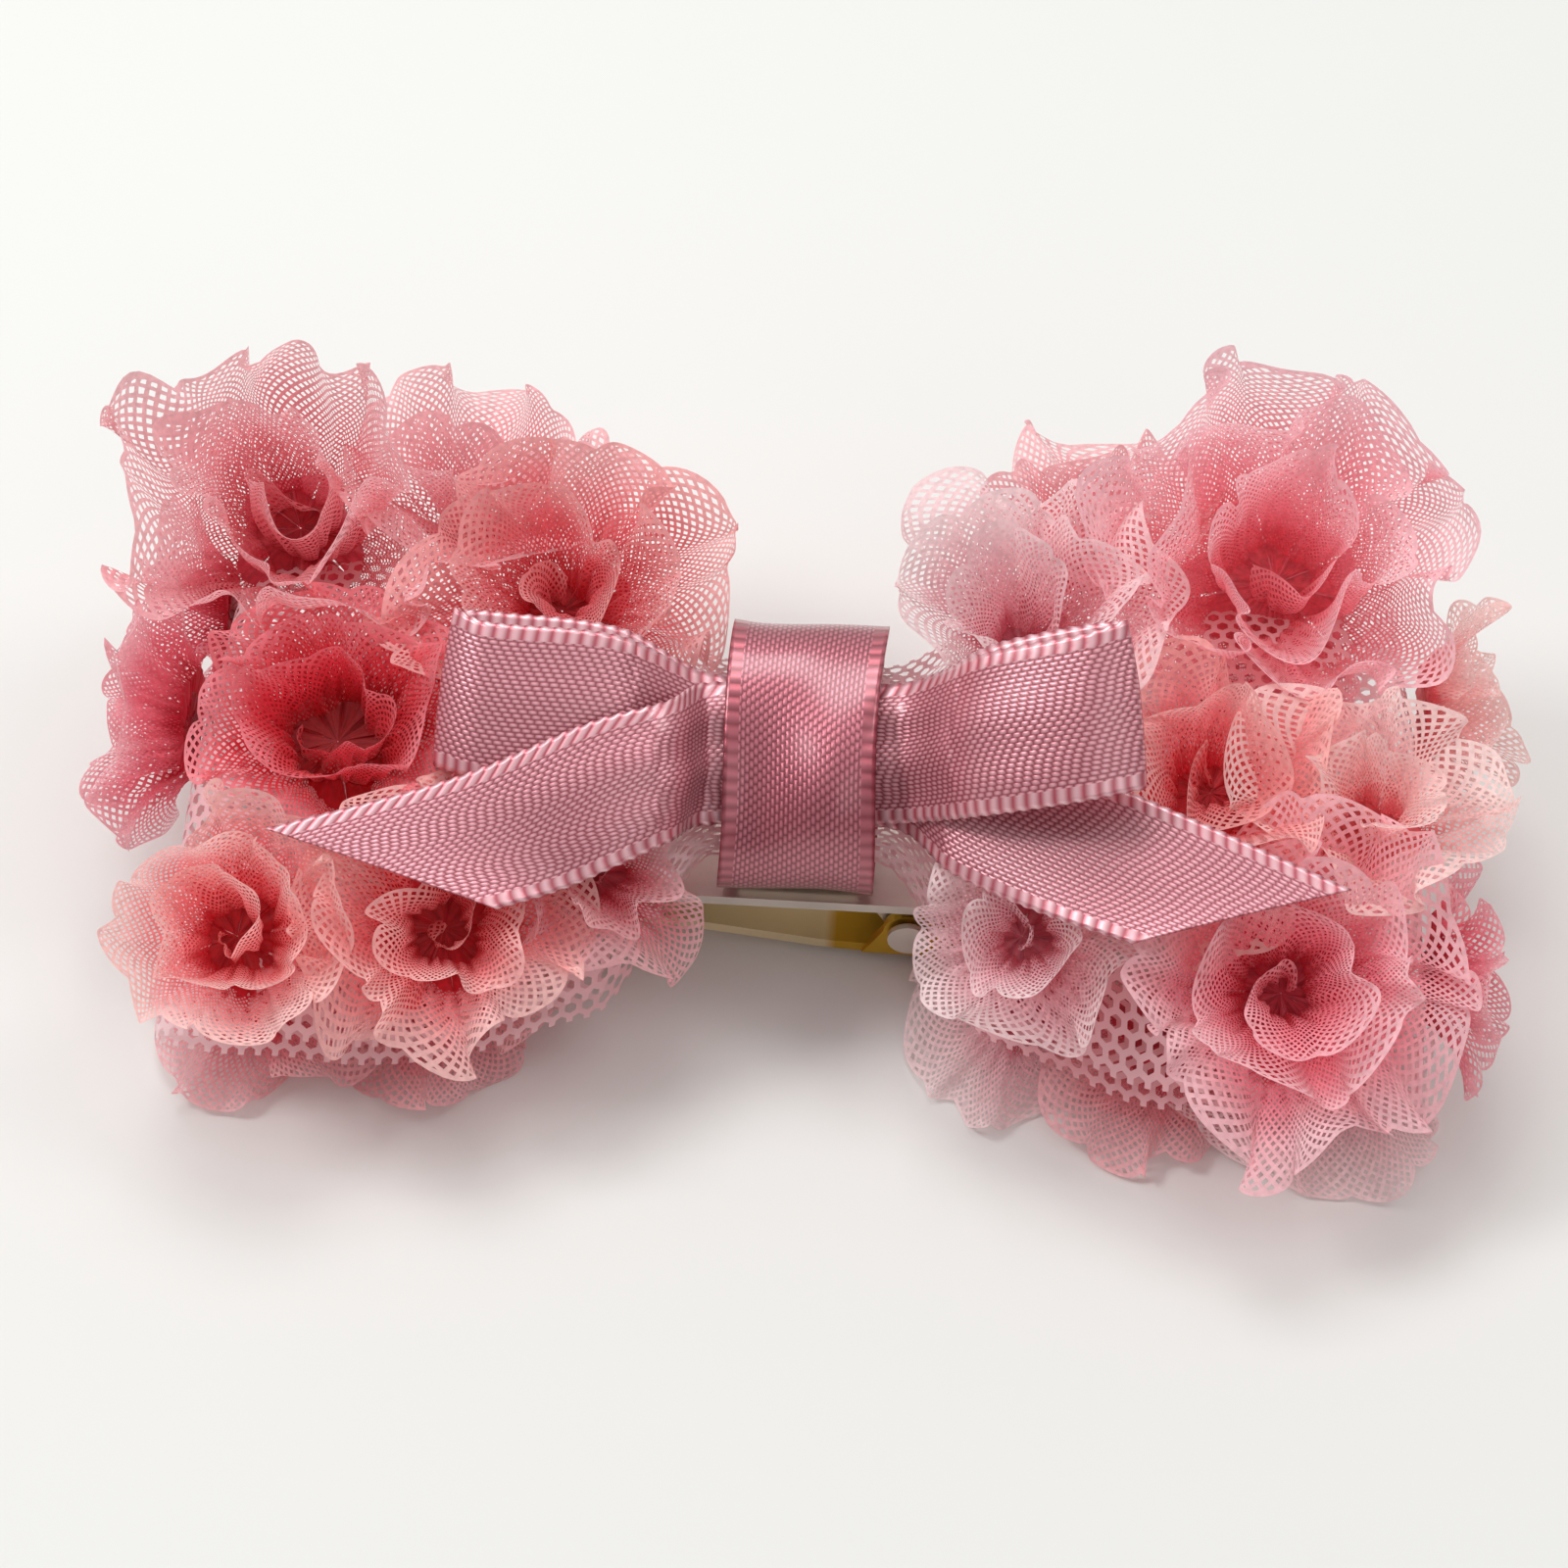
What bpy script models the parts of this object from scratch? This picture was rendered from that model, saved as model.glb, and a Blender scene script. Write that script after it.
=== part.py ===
"""Hair bow: a looped strip of rosette net and a folded satin ribbon on an alligator clip.

Metres, +Z up. The bow's length runs along X, its front faces -Y, and it stands on Z = 0.
"""

import math

import bmesh
import bpy
from mathutils import Matrix, Vector

for old in list(bpy.data.objects):
    bpy.data.objects.remove(old, do_unlink=True)

# Fits
gap = 0.0003

# Net strip, folded into two loops that are pinched at the waist
net_thickness = 0.0008
net_half_length = 0.0410
fold_depth = 0.0070
lobe_half_width = 0.0205
lobe_centre_y = -0.0005
lobe_inner_share = 0.66
flare_start = 0.0054
flare_length = 0.0075
flare_width_length = 0.0200
top_mid_height = 0.0160
top_lean = 0.0032
top_crown = 0.0054
bottom_mid_height = 0.0076
bottom_crown = 0.0030

# Centre wrap, an oval band of satin ribbon leaning back over the clip
ribbon_width = 0.0100
wrap_thickness = 0.0005
wrap_half_width = 0.0091
wrap_half_height = 0.0065
wrap_centre_y = -0.0013
wrap_lean = math.radians(30)
glue_depth = 0.00096

# Waist of the net inside the wrap
waist_side_room = 0.0027
waist_half_width = wrap_half_width - waist_side_room
waist_half_height = 0.0024
waist_drop = 0.0015
waist_edge_share = 0.45
thread_radius = 0.0003
thread_slack = 0.0003

# Satin ribbon, one strip folded into two loops and two tails
satin_thickness = 0.0004
satin_lean = math.radians(40)
satin_first_layer = 0.0031
satin_layer_step = 0.0007

# Alligator clip
clip_y = -0.0025
clip_nose_x = -0.0260
clip_tab_x = 0.0190
clip_width = 0.0090
sheet_thickness = 0.0008
hinge_x = 0.0075
hinge_z = 0.0036
pin_play = 0.00045
pin_lip = 0.0006
pin_head_thickness = 0.0004
hole_clearance = 0.0003
ear_thickness = 0.0006
ear_length = 0.0062
spring_wire_radius = 0.00025
spring_coil_radius = 0.0015
spring_pitch = 0.00065
spring_turns = 3
spring_leg = 0.0060
spring_room = 0.00025
foot_length = 0.0070

# The pin fills the spring's coil, and the ears leave a lip of metal round its hole
pin_radius = spring_coil_radius - spring_wire_radius - pin_play
pin_head_radius = pin_radius + pin_lip
ear_round = pin_radius + hole_clearance + pin_lip

# The plate clears the spring, and the wrap stands on its glue above the plate
plate_top_z = hinge_z + spring_coil_radius + spring_wire_radius + spring_room + sheet_thickness
wrap_reach = math.hypot(wrap_half_width * math.sin(wrap_lean), wrap_half_height * math.cos(wrap_lean))
wrap_centre = Vector((0.0, wrap_centre_y, plate_top_z + glue_depth + wrap_reach))

# Rosettes: the share of the half length and of the lobe's width where each one is sewn, and its
# radius and height as shares of the room there is for them
rosette_room = min(net_half_length, 2 * lobe_half_width)
top_rosettes = {
    "rosette_left_back_corner": (-0.883, 0.678, 0.166, 0.215),
    "rosette_left_back_inner": (-0.593, 0.876, 0.102, 0.146),
    "rosette_left_middle_inner": (-0.415, 0.431, 0.141, 0.171),
    "rosette_left_middle_outer": (-0.744, -0.132, 0.146, 0.122),
    "rosette_left_front_corner": (-0.866, -0.746, 0.117, 0.171),
    "rosette_left_front_middle": (-0.541, -0.699, 0.129, 0.127),
    "rosette_left_front_inner": (-0.312, -0.606, 0.073, 0.088),
    "rosette_right_back_corner": (0.761, 0.620, 0.190, 0.224),
    "rosette_right_back_inner": (0.454, 0.896, 0.098, 0.134),
    "rosette_right_middle_inner": (0.342, 0.436, 0.117, 0.146),
    "rosette_right_middle_outer": (0.646, -0.151, 0.122, 0.122),
    "rosette_right_side": (0.902, -0.244, 0.093, 0.122),
    "rosette_right_front_corner": (0.761, -0.737, 0.137, 0.137),
    "rosette_right_front_inner": (0.361, -0.713, 0.098, 0.088),
}
under_rosettes = {
    "rosette_left_under_corner": (-0.854, -0.756, 0.110, 0.127),
    "rosette_left_under_front": (-0.573, -0.738, 0.117, 0.127),
    "rosette_left_under_back": (-0.756, 0.658, 0.134, 0.127),
    "rosette_left_under_inner": (-0.439, 0.681, 0.110, 0.127),
    "rosette_right_under_inner": (0.378, -0.762, 0.088, 0.127),
    "rosette_right_under_front": (0.610, -0.747, 0.102, 0.127),
    "rosette_right_under_corner": (0.842, -0.756, 0.102, 0.127),
    "rosette_right_under_back": (0.707, 0.658, 0.134, 0.127),
}
# At the folds: side (-1 left, 1 right), share of the width, radius and height
end_rosettes = {
    "rosette_left_end": (-1, 0.049, 0.122, 0.127),
    "rosette_left_end_back": (-1, 0.634, 0.112, 0.110),
    "rosette_right_end": (1, 0.390, 0.137, 0.132),
    "rosette_right_end_front": (1, -0.585, 0.107, 0.110),
}


def material(name, colour, roughness, metallic=0.0):
    made = bpy.data.materials.new(name)
    made.use_nodes = True
    shader = made.node_tree.nodes["Principled BSDF"]
    shader.inputs["Base Color"].default_value = (*colour, 1.0)
    shader.inputs["Roughness"].default_value = roughness
    shader.inputs["Metallic"].default_value = metallic
    return made


def add_object(name, mesh, finish, origin=Vector(), rotation=None):
    """An object whose mesh is given in world coordinates, with its origin moved to origin."""
    place = Matrix.Translation(origin)
    if rotation:
        place = place @ rotation.to_matrix().to_4x4()
    mesh.transform(place.inverted())
    mesh.materials.append(finish)
    made = bpy.data.objects.new(name, mesh)
    made.matrix_world = place
    bpy.context.collection.objects.link(made)
    return made


def mesh_from(name, shape):
    bmesh.ops.recalc_face_normals(shape, faces=shape.faces)
    mesh = bpy.data.meshes.new(name)
    shape.to_mesh(mesh)
    shape.free()
    return mesh


def ease(share):
    share = min(max(share, 0.0), 1.0)
    return share * share * (3 - 2 * share)


def leaning(lean, along, out):
    """A step of along and out in a frame whose width leans back by lean from level."""
    return Vector(
        (0, along * math.cos(lean) - out * math.sin(lean), along * math.sin(lean) + out * math.cos(lean))
    )


def lobe_width(x):
    grown = ease((abs(x) - flare_start) / flare_width_length)
    return lobe_half_width * (lobe_inner_share + (1 - lobe_inner_share) * grown)


def net_point(x, across, side):
    """The net's outer face at x, across from -1 (front) to 1 (back); side 1 is the top layer."""
    bulge = waist_edge_share + (1 - waist_edge_share) * (1 - across * across)
    waist = wrap_centre + leaning(
        wrap_lean, waist_half_width * across, side * waist_half_height * bulge - waist_drop
    )
    top = top_mid_height + top_lean * across - top_crown * across * across
    bottom = bottom_mid_height - bottom_crown * across * across
    lobe = Vector((0, lobe_centre_y + lobe_width(x) * across, top if side > 0 else bottom))
    here = waist.lerp(lobe, ease((abs(x) - flare_start) / flare_length))
    here.x = x
    return here


def fold_point(end, across, turn):
    """The outer fold of a lobe, turn running from 0 (top layer) to pi (bottom layer)."""
    start = end * (net_half_length - fold_depth)
    top = net_point(start, across, 1)
    bottom = net_point(start, across, -1)
    here = (top + bottom) / 2 + (top - bottom) / 2 * math.cos(turn)
    here.x = start + end * fold_depth * math.sin(turn)
    return here


def surface_frame(point_at, u, v, step=1e-4):
    """The point and the unit normal of a surface at (u, v), by central differences."""
    du = point_at(u + step, v) - point_at(u - step, v)
    dv = point_at(u, v + step) - point_at(u, v - step)
    return point_at(u, v), du.cross(dv).normalized()


def make_net(finish, stations=7, fold_steps=5, rows=8):
    """One strip, closed into a ring: top layer, right fold, bottom layer, left fold."""
    reach = net_half_length - fold_depth
    outer = [flare_start + (reach - flare_start) * (i / stations) ** 1.4 for i in range(stations + 1)]
    level = [-x for x in reversed(outer)] + [0.0] + outer
    turns = [math.pi * i / fold_steps for i in range(1, fold_steps)]
    shape = bmesh.new()
    columns = []
    for row in range(rows + 1):
        across = 2 * row / rows - 1
        ring = [net_point(x, across, 1) for x in level]
        ring += [fold_point(1, across, turn) for turn in turns]
        ring += [net_point(x, across, -1) for x in reversed(level)]
        ring += [fold_point(-1, across, turn) for turn in reversed(turns)]
        columns.append([shape.verts.new(point) for point in ring])
    count = len(columns[0])
    for near, far in zip(columns, columns[1:]):
        for i in range(count):
            j = (i + 1) % count
            shape.faces.new((near[i], near[j], far[j], far[i]))
    mesh = bpy.data.meshes.new("net_strip")
    shape.to_mesh(mesh)
    shape.free()
    net = add_object("net_strip", mesh, finish)
    wall = net.modifiers.new("wall", "SOLIDIFY")
    wall.thickness = net_thickness
    wall.offset = -1
    return net


def make_rosette(name, base, outward, radius_share, height_share, finish, sides=16):
    """A plain closed dome for one coiled rosette, sewn on at base and facing outward."""
    radius = radius_share * rosette_room
    height = height_share * rosette_room
    rings = ((0.80, 0.0), (1.0, 0.40), (0.86, 0.80), (0.50, 1.0))
    foot = base + outward * gap
    turn = outward.to_track_quat("Z", "Y")
    shape = bmesh.new()
    loops = []
    for share, rise in rings:
        made = bmesh.ops.create_circle(
            shape, segments=sides, radius=radius * share, matrix=Matrix.Translation((0, 0, height * rise))
        )
        loops.append(made["verts"])
    for low, high in zip(loops, loops[1:]):
        for i in range(sides):
            j = (i + 1) % sides
            shape.faces.new((low[i], low[j], high[j], high[i]))
    shape.faces.new(loops[0])
    shape.faces.new(loops[-1])
    mesh = mesh_from(name, shape)
    mesh.transform(Matrix.Translation(foot) @ turn.to_matrix().to_4x4())
    rosette = add_object(name, mesh, finish, foot, turn)
    rosette.data.shade_smooth()
    rosette.data.set_sharp_from_angle(angle=math.radians(50))
    return rosette


def rosette_place(along, across, side):
    """Base and outward direction of a rosette sewn on the top (1) or bottom (-1) layer."""
    x = along * net_half_length
    base, outward = surface_frame(lambda u, v: net_point(u, v, side), x, across)
    return base, outward * side


def end_place(end, across):
    """Base and outward direction of a rosette sewn on the fold of a lobe."""
    base, outward = surface_frame(lambda u, v: fold_point(end, v, u), math.pi / 2, across)
    return base, outward if outward.x * end > 0 else -outward


def oval_ring(shape, x, half_width, half_height, drop, lean, sides):
    ring = []
    for i in range(sides):
        angle = 2 * math.pi * i / sides
        step = leaning(lean, half_width * math.cos(angle), half_height * math.sin(angle) - drop)
        point = wrap_centre + step
        point.x = x
        ring.append(shape.verts.new(point))
    return ring


def make_wrap(finish, sides=40):
    """The band of ribbon round the bow's waist, closed into an oval."""
    half = ribbon_width / 2
    inner_width = wrap_half_width - wrap_thickness
    inner_height = wrap_half_height - wrap_thickness
    shape = bmesh.new()
    rings = [
        oval_ring(shape, -half, wrap_half_width, wrap_half_height, 0, wrap_lean, sides),
        oval_ring(shape, half, wrap_half_width, wrap_half_height, 0, wrap_lean, sides),
        oval_ring(shape, half, inner_width, inner_height, 0, wrap_lean, sides),
        oval_ring(shape, -half, inner_width, inner_height, 0, wrap_lean, sides),
    ]
    for near, far in zip(rings, rings[1:] + rings[:1]):
        for i in range(sides):
            j = (i + 1) % sides
            shape.faces.new((near[i], near[j], far[j], far[i]))
    wrap = add_object("centre_wrap", mesh_from("centre_wrap", shape), finish)
    wrap.data.shade_smooth()
    wrap.data.set_sharp_from_angle(angle=math.radians(50))
    return wrap


def make_thread(finish, sides=32, around=8):
    """The gathering thread, tied round the net's waist under the wrap."""
    half_width = waist_half_width + 2 * thread_slack + 2 * thread_radius
    half_height = waist_half_height + thread_slack + thread_radius
    shape = bmesh.new()
    hoops = []
    for i in range(sides):
        angle = 2 * math.pi * i / sides
        centre = wrap_centre + leaning(
            wrap_lean, half_width * math.cos(angle), half_height * math.sin(angle) - waist_drop
        )
        outward = leaning(wrap_lean, math.cos(angle) / half_width, math.sin(angle) / half_height).normalized()
        hoop = []
        for k in range(around):
            phase = 2 * math.pi * k / around
            offset = outward * math.cos(phase) + Vector((1, 0, 0)) * math.sin(phase)
            hoop.append(shape.verts.new(centre + offset * thread_radius))
        hoops.append(hoop)
    for near, far in zip(hoops, hoops[1:] + hoops[:1]):
        for k in range(around):
            m = (k + 1) % around
            shape.faces.new((near[k], near[m], far[m], far[k]))
    return add_object("gathering_thread", mesh_from("gathering_thread", shape), finish)


def satin_path():
    """Stations of the folded ribbon, from the right tail's tip to the left tail's tip.

    Each is (x of lower edge, x of upper edge, lower edge, upper edge, height), the edges
    measured up the leaning plane from the wrap's centre and the height square to it. The x of
    a tail or a loop is a share of the net's half length.
    """
    layers = [satin_first_layer + satin_layer_step * i for i in range(3)]
    edge = ribbon_width / 2 + 0.0012
    pinch = 0.0040
    right_tail = [
        (0.519, 0.842, -0.0105, -0.0065, 0.0122),
        (0.378, 0.532, -0.0090, -0.0016, 0.0098),
        (0.244, 0.317, -0.0069, 0.0012, 0.0066),
    ]
    left_loop = [
        (-0.293, -0.293, -0.0026, 0.0076, 0.0042),
        (-0.488, -0.488, -0.0022, 0.0082, 0.0052),
        (-0.561, -0.541, -0.0019, 0.0082, 0.0060),
        (-0.566, -0.546, -0.0019, 0.0082, 0.0070),
        (-0.488, -0.488, -0.0026, 0.0074, 0.0078),
        (-0.293, -0.293, -0.0030, 0.0064, 0.0068),
    ]
    right_loop = [
        (0.293, 0.293, -0.0028, 0.0076, 0.0086),
        (0.427, 0.427, -0.0018, 0.0090, 0.0110),
        (0.517, 0.478, -0.0010, 0.0093, 0.0118),
        (0.522, 0.483, -0.0010, 0.0093, 0.0128),
        (0.427, 0.427, -0.0020, 0.0084, 0.0132),
        (0.293, 0.293, -0.0032, 0.0068, 0.0106),
    ]
    left_tail = [
        (-0.232, -0.295, -0.0069, 0.0020, 0.0090),
        (-0.349, -0.524, -0.0092, -0.0026, 0.0110),
        (-0.444, -0.805, -0.0106, -0.0064, 0.0124),
    ]
    crossings = [
        [(side * edge, side * edge, -pinch, pinch, layer) for side in sides]
        for layer, sides in zip(layers, ((1, -1), (-1, 1), (1, -1)))
    ]
    right_tail, left_loop, right_loop, left_tail = (
        [(a * net_half_length, b * net_half_length, *rest) for a, b, *rest in run]
        for run in (right_tail, left_loop, right_loop, left_tail)
    )
    return (
        right_tail + crossings[0] + left_loop + crossings[1] + right_loop + crossings[2] + left_tail
    )


def make_satin(finish):
    shape = bmesh.new()
    rungs = []
    for low_x, high_x, low, high, height in satin_path():
        ends = []
        for x, along in ((low_x, low), (high_x, high)):
            point = wrap_centre + leaning(satin_lean, along, height)
            point.x = x
            ends.append(shape.verts.new(point))
        rungs.append(ends)
    for here, there in zip(rungs, rungs[1:]):
        shape.faces.new((here[0], there[0], there[1], here[1]))
    mesh = bpy.data.meshes.new("satin_ribbon")
    shape.to_mesh(mesh)
    shape.free()
    satin = add_object("satin_ribbon", mesh, finish)
    wall = satin.modifiers.new("wall", "SOLIDIFY")
    wall.thickness = satin_thickness
    wall.offset = 0
    return satin


def extrude_outline(name, outline, half_width, centre_y):
    """A solid from an outline in the XZ plane, reaching half_width to each side of centre_y."""
    shape = bmesh.new()
    face = shape.faces.new([shape.verts.new((x, centre_y - half_width, z)) for x, z in outline])
    grown = bmesh.ops.extrude_face_region(shape, geom=[face])
    moved = [item for item in grown["geom"] if isinstance(item, bmesh.types.BMVert)]
    bmesh.ops.translate(shape, verts=moved, vec=(0, 2 * half_width, 0))
    return mesh_from(name, shape)


def round_outline(centre_x, centre_z, radius, start, end, steps):
    turns = [math.radians(start + (end - start) * i / steps) for i in range(steps + 1)]
    return [(centre_x + radius * math.cos(t), centre_z + radius * math.sin(t)) for t in turns]


def helper(name, mesh):
    """A working solid for a Boolean, left out of the finished part."""
    made = bpy.data.objects.new(name, mesh)
    made.hide_render = True
    made.display_type = "WIRE"
    bpy.context.collection.objects.link(made)
    return made


def join(target, tool, operation):
    change = target.modifiers.new(tool.name, "BOOLEAN")
    change.operation = operation
    change.solver = "EXACT"
    change.object = tool


def pin_hole():
    shape = bmesh.new()
    bmesh.ops.create_cone(
        shape,
        cap_ends=True,
        segments=20,
        radius1=pin_radius + hole_clearance,
        radius2=pin_radius + hole_clearance,
        depth=clip_width * 2,
        matrix=Matrix.Translation((hinge_x, clip_y, hinge_z)) @ Matrix.Rotation(math.pi / 2, 4, "X"),
    )
    return helper("pin_hole", mesh_from("pin_hole", shape))


def ear_outline(overlap_z, low_z):
    """Side view of an ear: straight where it meets its strip, round under the pin."""
    half = ear_length / 2
    round_radius = min(half, abs(hinge_z - low_z))
    if overlap_z > hinge_z:
        arc = round_outline(hinge_x, low_z + round_radius, round_radius, 180, 360, 10)
    else:
        arc = round_outline(hinge_x, low_z - round_radius, round_radius, 180, 0, 10)
    return [(hinge_x - half, overlap_z)] + arc + [(hinge_x + half, overlap_z)]


def make_plate(finish, hole):
    """The clip's flat upper plate, with two ears bent down round the pin."""
    low = plate_top_z - sheet_thickness
    plate_outline = [
        (clip_nose_x, low),
        (clip_tab_x, low),
        (clip_tab_x, plate_top_z),
        (clip_nose_x, plate_top_z),
    ]
    mesh = extrude_outline("clip_upper_plate", plate_outline, clip_width / 2, clip_y)
    hinge = Vector((hinge_x, clip_y, hinge_z))
    plate = add_object("clip_upper_plate", mesh, finish, hinge)
    corners = plate.modifiers.new("corners", "BEVEL")
    corners.width = clip_width * 0.22
    corners.segments = 4
    corners.limit_method = "WEIGHT"
    weights = mesh.attributes.new("bevel_weight_edge", "FLOAT", "EDGE")
    for index, edge in enumerate(mesh.edges):
        a, b = (mesh.vertices[i].co for i in edge.vertices)
        weights.data[index].value = 1.0 if abs(a.z - b.z) > sheet_thickness / 2 else 0.0
    inner_face = clip_width / 2 - 2 * ear_thickness - gap
    for side in (-1, 1):
        centre = clip_y + side * (inner_face + ear_thickness / 2)
        outline = ear_outline(plate_top_z - sheet_thickness / 2, hinge_z - ear_round)
        ear = helper("plate_ear", extrude_outline("plate_ear", outline, ear_thickness / 2, centre))
        join(plate, ear, "UNION")
    join(plate, hole, "DIFFERENCE")
    return plate


def make_lever(finish, hole):
    """The sprung lower jaw and press tab, one bent strip with two ears on the pin."""
    jaw_top = plate_top_z - sheet_thickness - gap
    under_hinge = hinge_z - spring_coil_radius - spring_wire_radius - gap
    nose = clip_nose_x + 0.0008
    upper = [
        (nose, jaw_top),
        (nose + 0.0060, jaw_top - 0.0002),
        (hinge_x - 0.0060, under_hinge + 0.0004),
        (hinge_x, under_hinge),
        (clip_tab_x - foot_length, sheet_thickness),
        (clip_tab_x, sheet_thickness),
    ]
    lower = [(x, max(z - sheet_thickness, 0.0)) for x, z in reversed(upper)]
    strip_half = clip_width / 2 - ear_thickness / 2
    mesh = extrude_outline("clip_lever", upper + lower, strip_half, clip_y)
    lever = add_object("clip_lever", mesh, finish, Vector((hinge_x, clip_y, hinge_z)))
    for side in (-1, 1):
        centre = clip_y + side * (clip_width / 2 - ear_thickness / 2)
        outline = ear_outline(under_hinge - sheet_thickness / 2, plate_top_z - sheet_thickness - gap)
        ear = helper("lever_ear", extrude_outline("lever_ear", outline, ear_thickness / 2, centre))
        join(lever, ear, "UNION")
    join(lever, hole, "DIFFERENCE")
    return lever


def make_pin(finish):
    """The hinge pin, with a flattened head outside each ear of the lever."""
    head_inner = clip_width / 2 + gap
    profile = [
        (0.0, -head_inner - pin_head_thickness),
        (pin_head_radius, -head_inner - pin_head_thickness),
        (pin_head_radius, -head_inner),
        (pin_radius, -head_inner),
        (pin_radius, head_inner),
        (pin_head_radius, head_inner),
        (pin_head_radius, head_inner + pin_head_thickness),
        (0.0, head_inner + pin_head_thickness),
    ]
    shape = bmesh.new()
    points = [shape.verts.new((radius, 0, along)) for radius, along in profile]
    edges = [shape.edges.new(pair) for pair in zip(points, points[1:])]
    bmesh.ops.spin(
        shape, geom=points + edges, cent=(0, 0, 0), axis=(0, 0, 1), angle=2 * math.pi, steps=20
    )
    bmesh.ops.remove_doubles(shape, verts=shape.verts, dist=1e-6)
    mesh = mesh_from("hinge_pin", shape)
    hinge = Vector((hinge_x, clip_y, hinge_z))
    mesh.transform(Matrix.Translation(hinge) @ Matrix.Rotation(math.pi / 2, 4, "X"))
    return add_object("hinge_pin", mesh, finish, hinge)


def make_spring(finish, steps=16):
    """The torsion spring on the pin, one leg under the plate and one on the press tab."""
    half_coil = spring_pitch * spring_turns / 2
    points = [Vector((spring_leg, -half_coil, spring_coil_radius))]
    for i in range(spring_turns * steps + 1):
        angle = math.pi / 2 + 2 * math.pi * i / steps
        along = -half_coil + spring_pitch * i / steps
        points.append(
            Vector((spring_coil_radius * math.cos(angle), along, spring_coil_radius * math.sin(angle)))
        )
    for i in range(1, steps // 2 + 1):
        angle = math.pi / 2 + 2 * math.pi * i / steps
        points.append(
            Vector((spring_coil_radius * math.cos(angle), half_coil, spring_coil_radius * math.sin(angle)))
        )
    points.append(Vector((spring_leg, half_coil, -spring_coil_radius - 0.0002)))
    wire = bpy.data.curves.new("clip_spring", "CURVE")
    wire.dimensions = "3D"
    wire.bevel_depth = spring_wire_radius
    wire.bevel_resolution = 1
    wire.use_fill_caps = True
    wire.materials.append(finish)
    spline = wire.splines.new("POLY")
    spline.points.add(len(points) - 1)
    for slot, point in zip(spline.points, points):
        slot.co = (*point, 1.0)
    spring = bpy.data.objects.new("clip_spring", wire)
    spring.location = (hinge_x, clip_y, hinge_z)
    bpy.context.collection.objects.link(spring)
    return spring


def make_glue_pad(finish, steps=12):
    """The set glue that fills the space between the plate and the wrap's underside."""
    half_y = clip_width * 0.4
    half_x = ribbon_width * 0.4
    low = plate_top_z + gap
    top = []
    for i in range(steps + 1):
        y = clip_y - half_y + 2 * half_y * i / steps
        top.append((y, wrap_underside(y) - gap))
    shape = bmesh.new()
    outline = [(clip_y - half_y, low), (clip_y + half_y, low)] + top[::-1]
    face = shape.faces.new([shape.verts.new((-half_x, y, z)) for y, z in outline])
    grown = bmesh.ops.extrude_face_region(shape, geom=[face])
    moved = [item for item in grown["geom"] if isinstance(item, bmesh.types.BMVert)]
    bmesh.ops.translate(shape, verts=moved, vec=(2 * half_x, 0, 0))
    return add_object("glue_pad", mesh_from("glue_pad", shape), finish)


def wrap_underside(y):
    """Height of the wrap's lower surface at y, from the leaning oval."""
    reach = y - wrap_centre.y
    cos, sin = math.cos(wrap_lean), math.sin(wrap_lean)
    a2, b2 = wrap_half_width**2, wrap_half_height**2
    # |(y cos + z sin)/a|^2 + |(z cos - y sin)/b|^2 = 1, solved for the lower z
    square = sin * sin / a2 + cos * cos / b2
    linear = 2 * reach * sin * cos * (1 / a2 - 1 / b2)
    constant = reach * reach * (cos * cos / a2 + sin * sin / b2) - 1
    drop = (-linear - math.sqrt(linear * linear - 4 * square * constant)) / (2 * square)
    return wrap_centre.z + drop


net_finish = material("net", (0.85, 0.68, 0.70), 0.8)
mesh_finish = material("rosette_mesh", (0.72, 0.18, 0.24), 0.75)
satin_finish = material("satin", (0.62, 0.20, 0.26), 0.35)
nickel_finish = material("nickel", (0.72, 0.70, 0.66), 0.3, 1.0)
brass_finish = material("brass_plate", (0.62, 0.48, 0.18), 0.3, 1.0)
thread_finish = material("thread", (0.80, 0.45, 0.48), 0.7)
glue_finish = material("glue", (0.85, 0.82, 0.72), 0.4)

hole_cutter = pin_hole()
make_plate(nickel_finish, hole_cutter)
make_lever(brass_finish, hole_cutter)
make_pin(nickel_finish)
make_spring(nickel_finish)
make_glue_pad(glue_finish)
make_wrap(satin_finish)
make_thread(thread_finish)
make_net(net_finish)
make_satin(satin_finish)
for rosette_name, (along, across, radius, height) in top_rosettes.items():
    base, outward = rosette_place(along, across, 1)
    make_rosette(rosette_name, base, outward, radius, height, mesh_finish)
for rosette_name, (along, across, radius, height) in under_rosettes.items():
    base, outward = rosette_place(along, across, -1)
    make_rosette(rosette_name, base, outward, radius, height, mesh_finish)
for rosette_name, (end, across, radius, height) in end_rosettes.items():
    base, outward = end_place(end, across)
    make_rosette(rosette_name, base, outward, radius, height, mesh_finish)
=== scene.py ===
import math

import bpy
import numpy as np
from mathutils import Matrix, Vector


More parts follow.
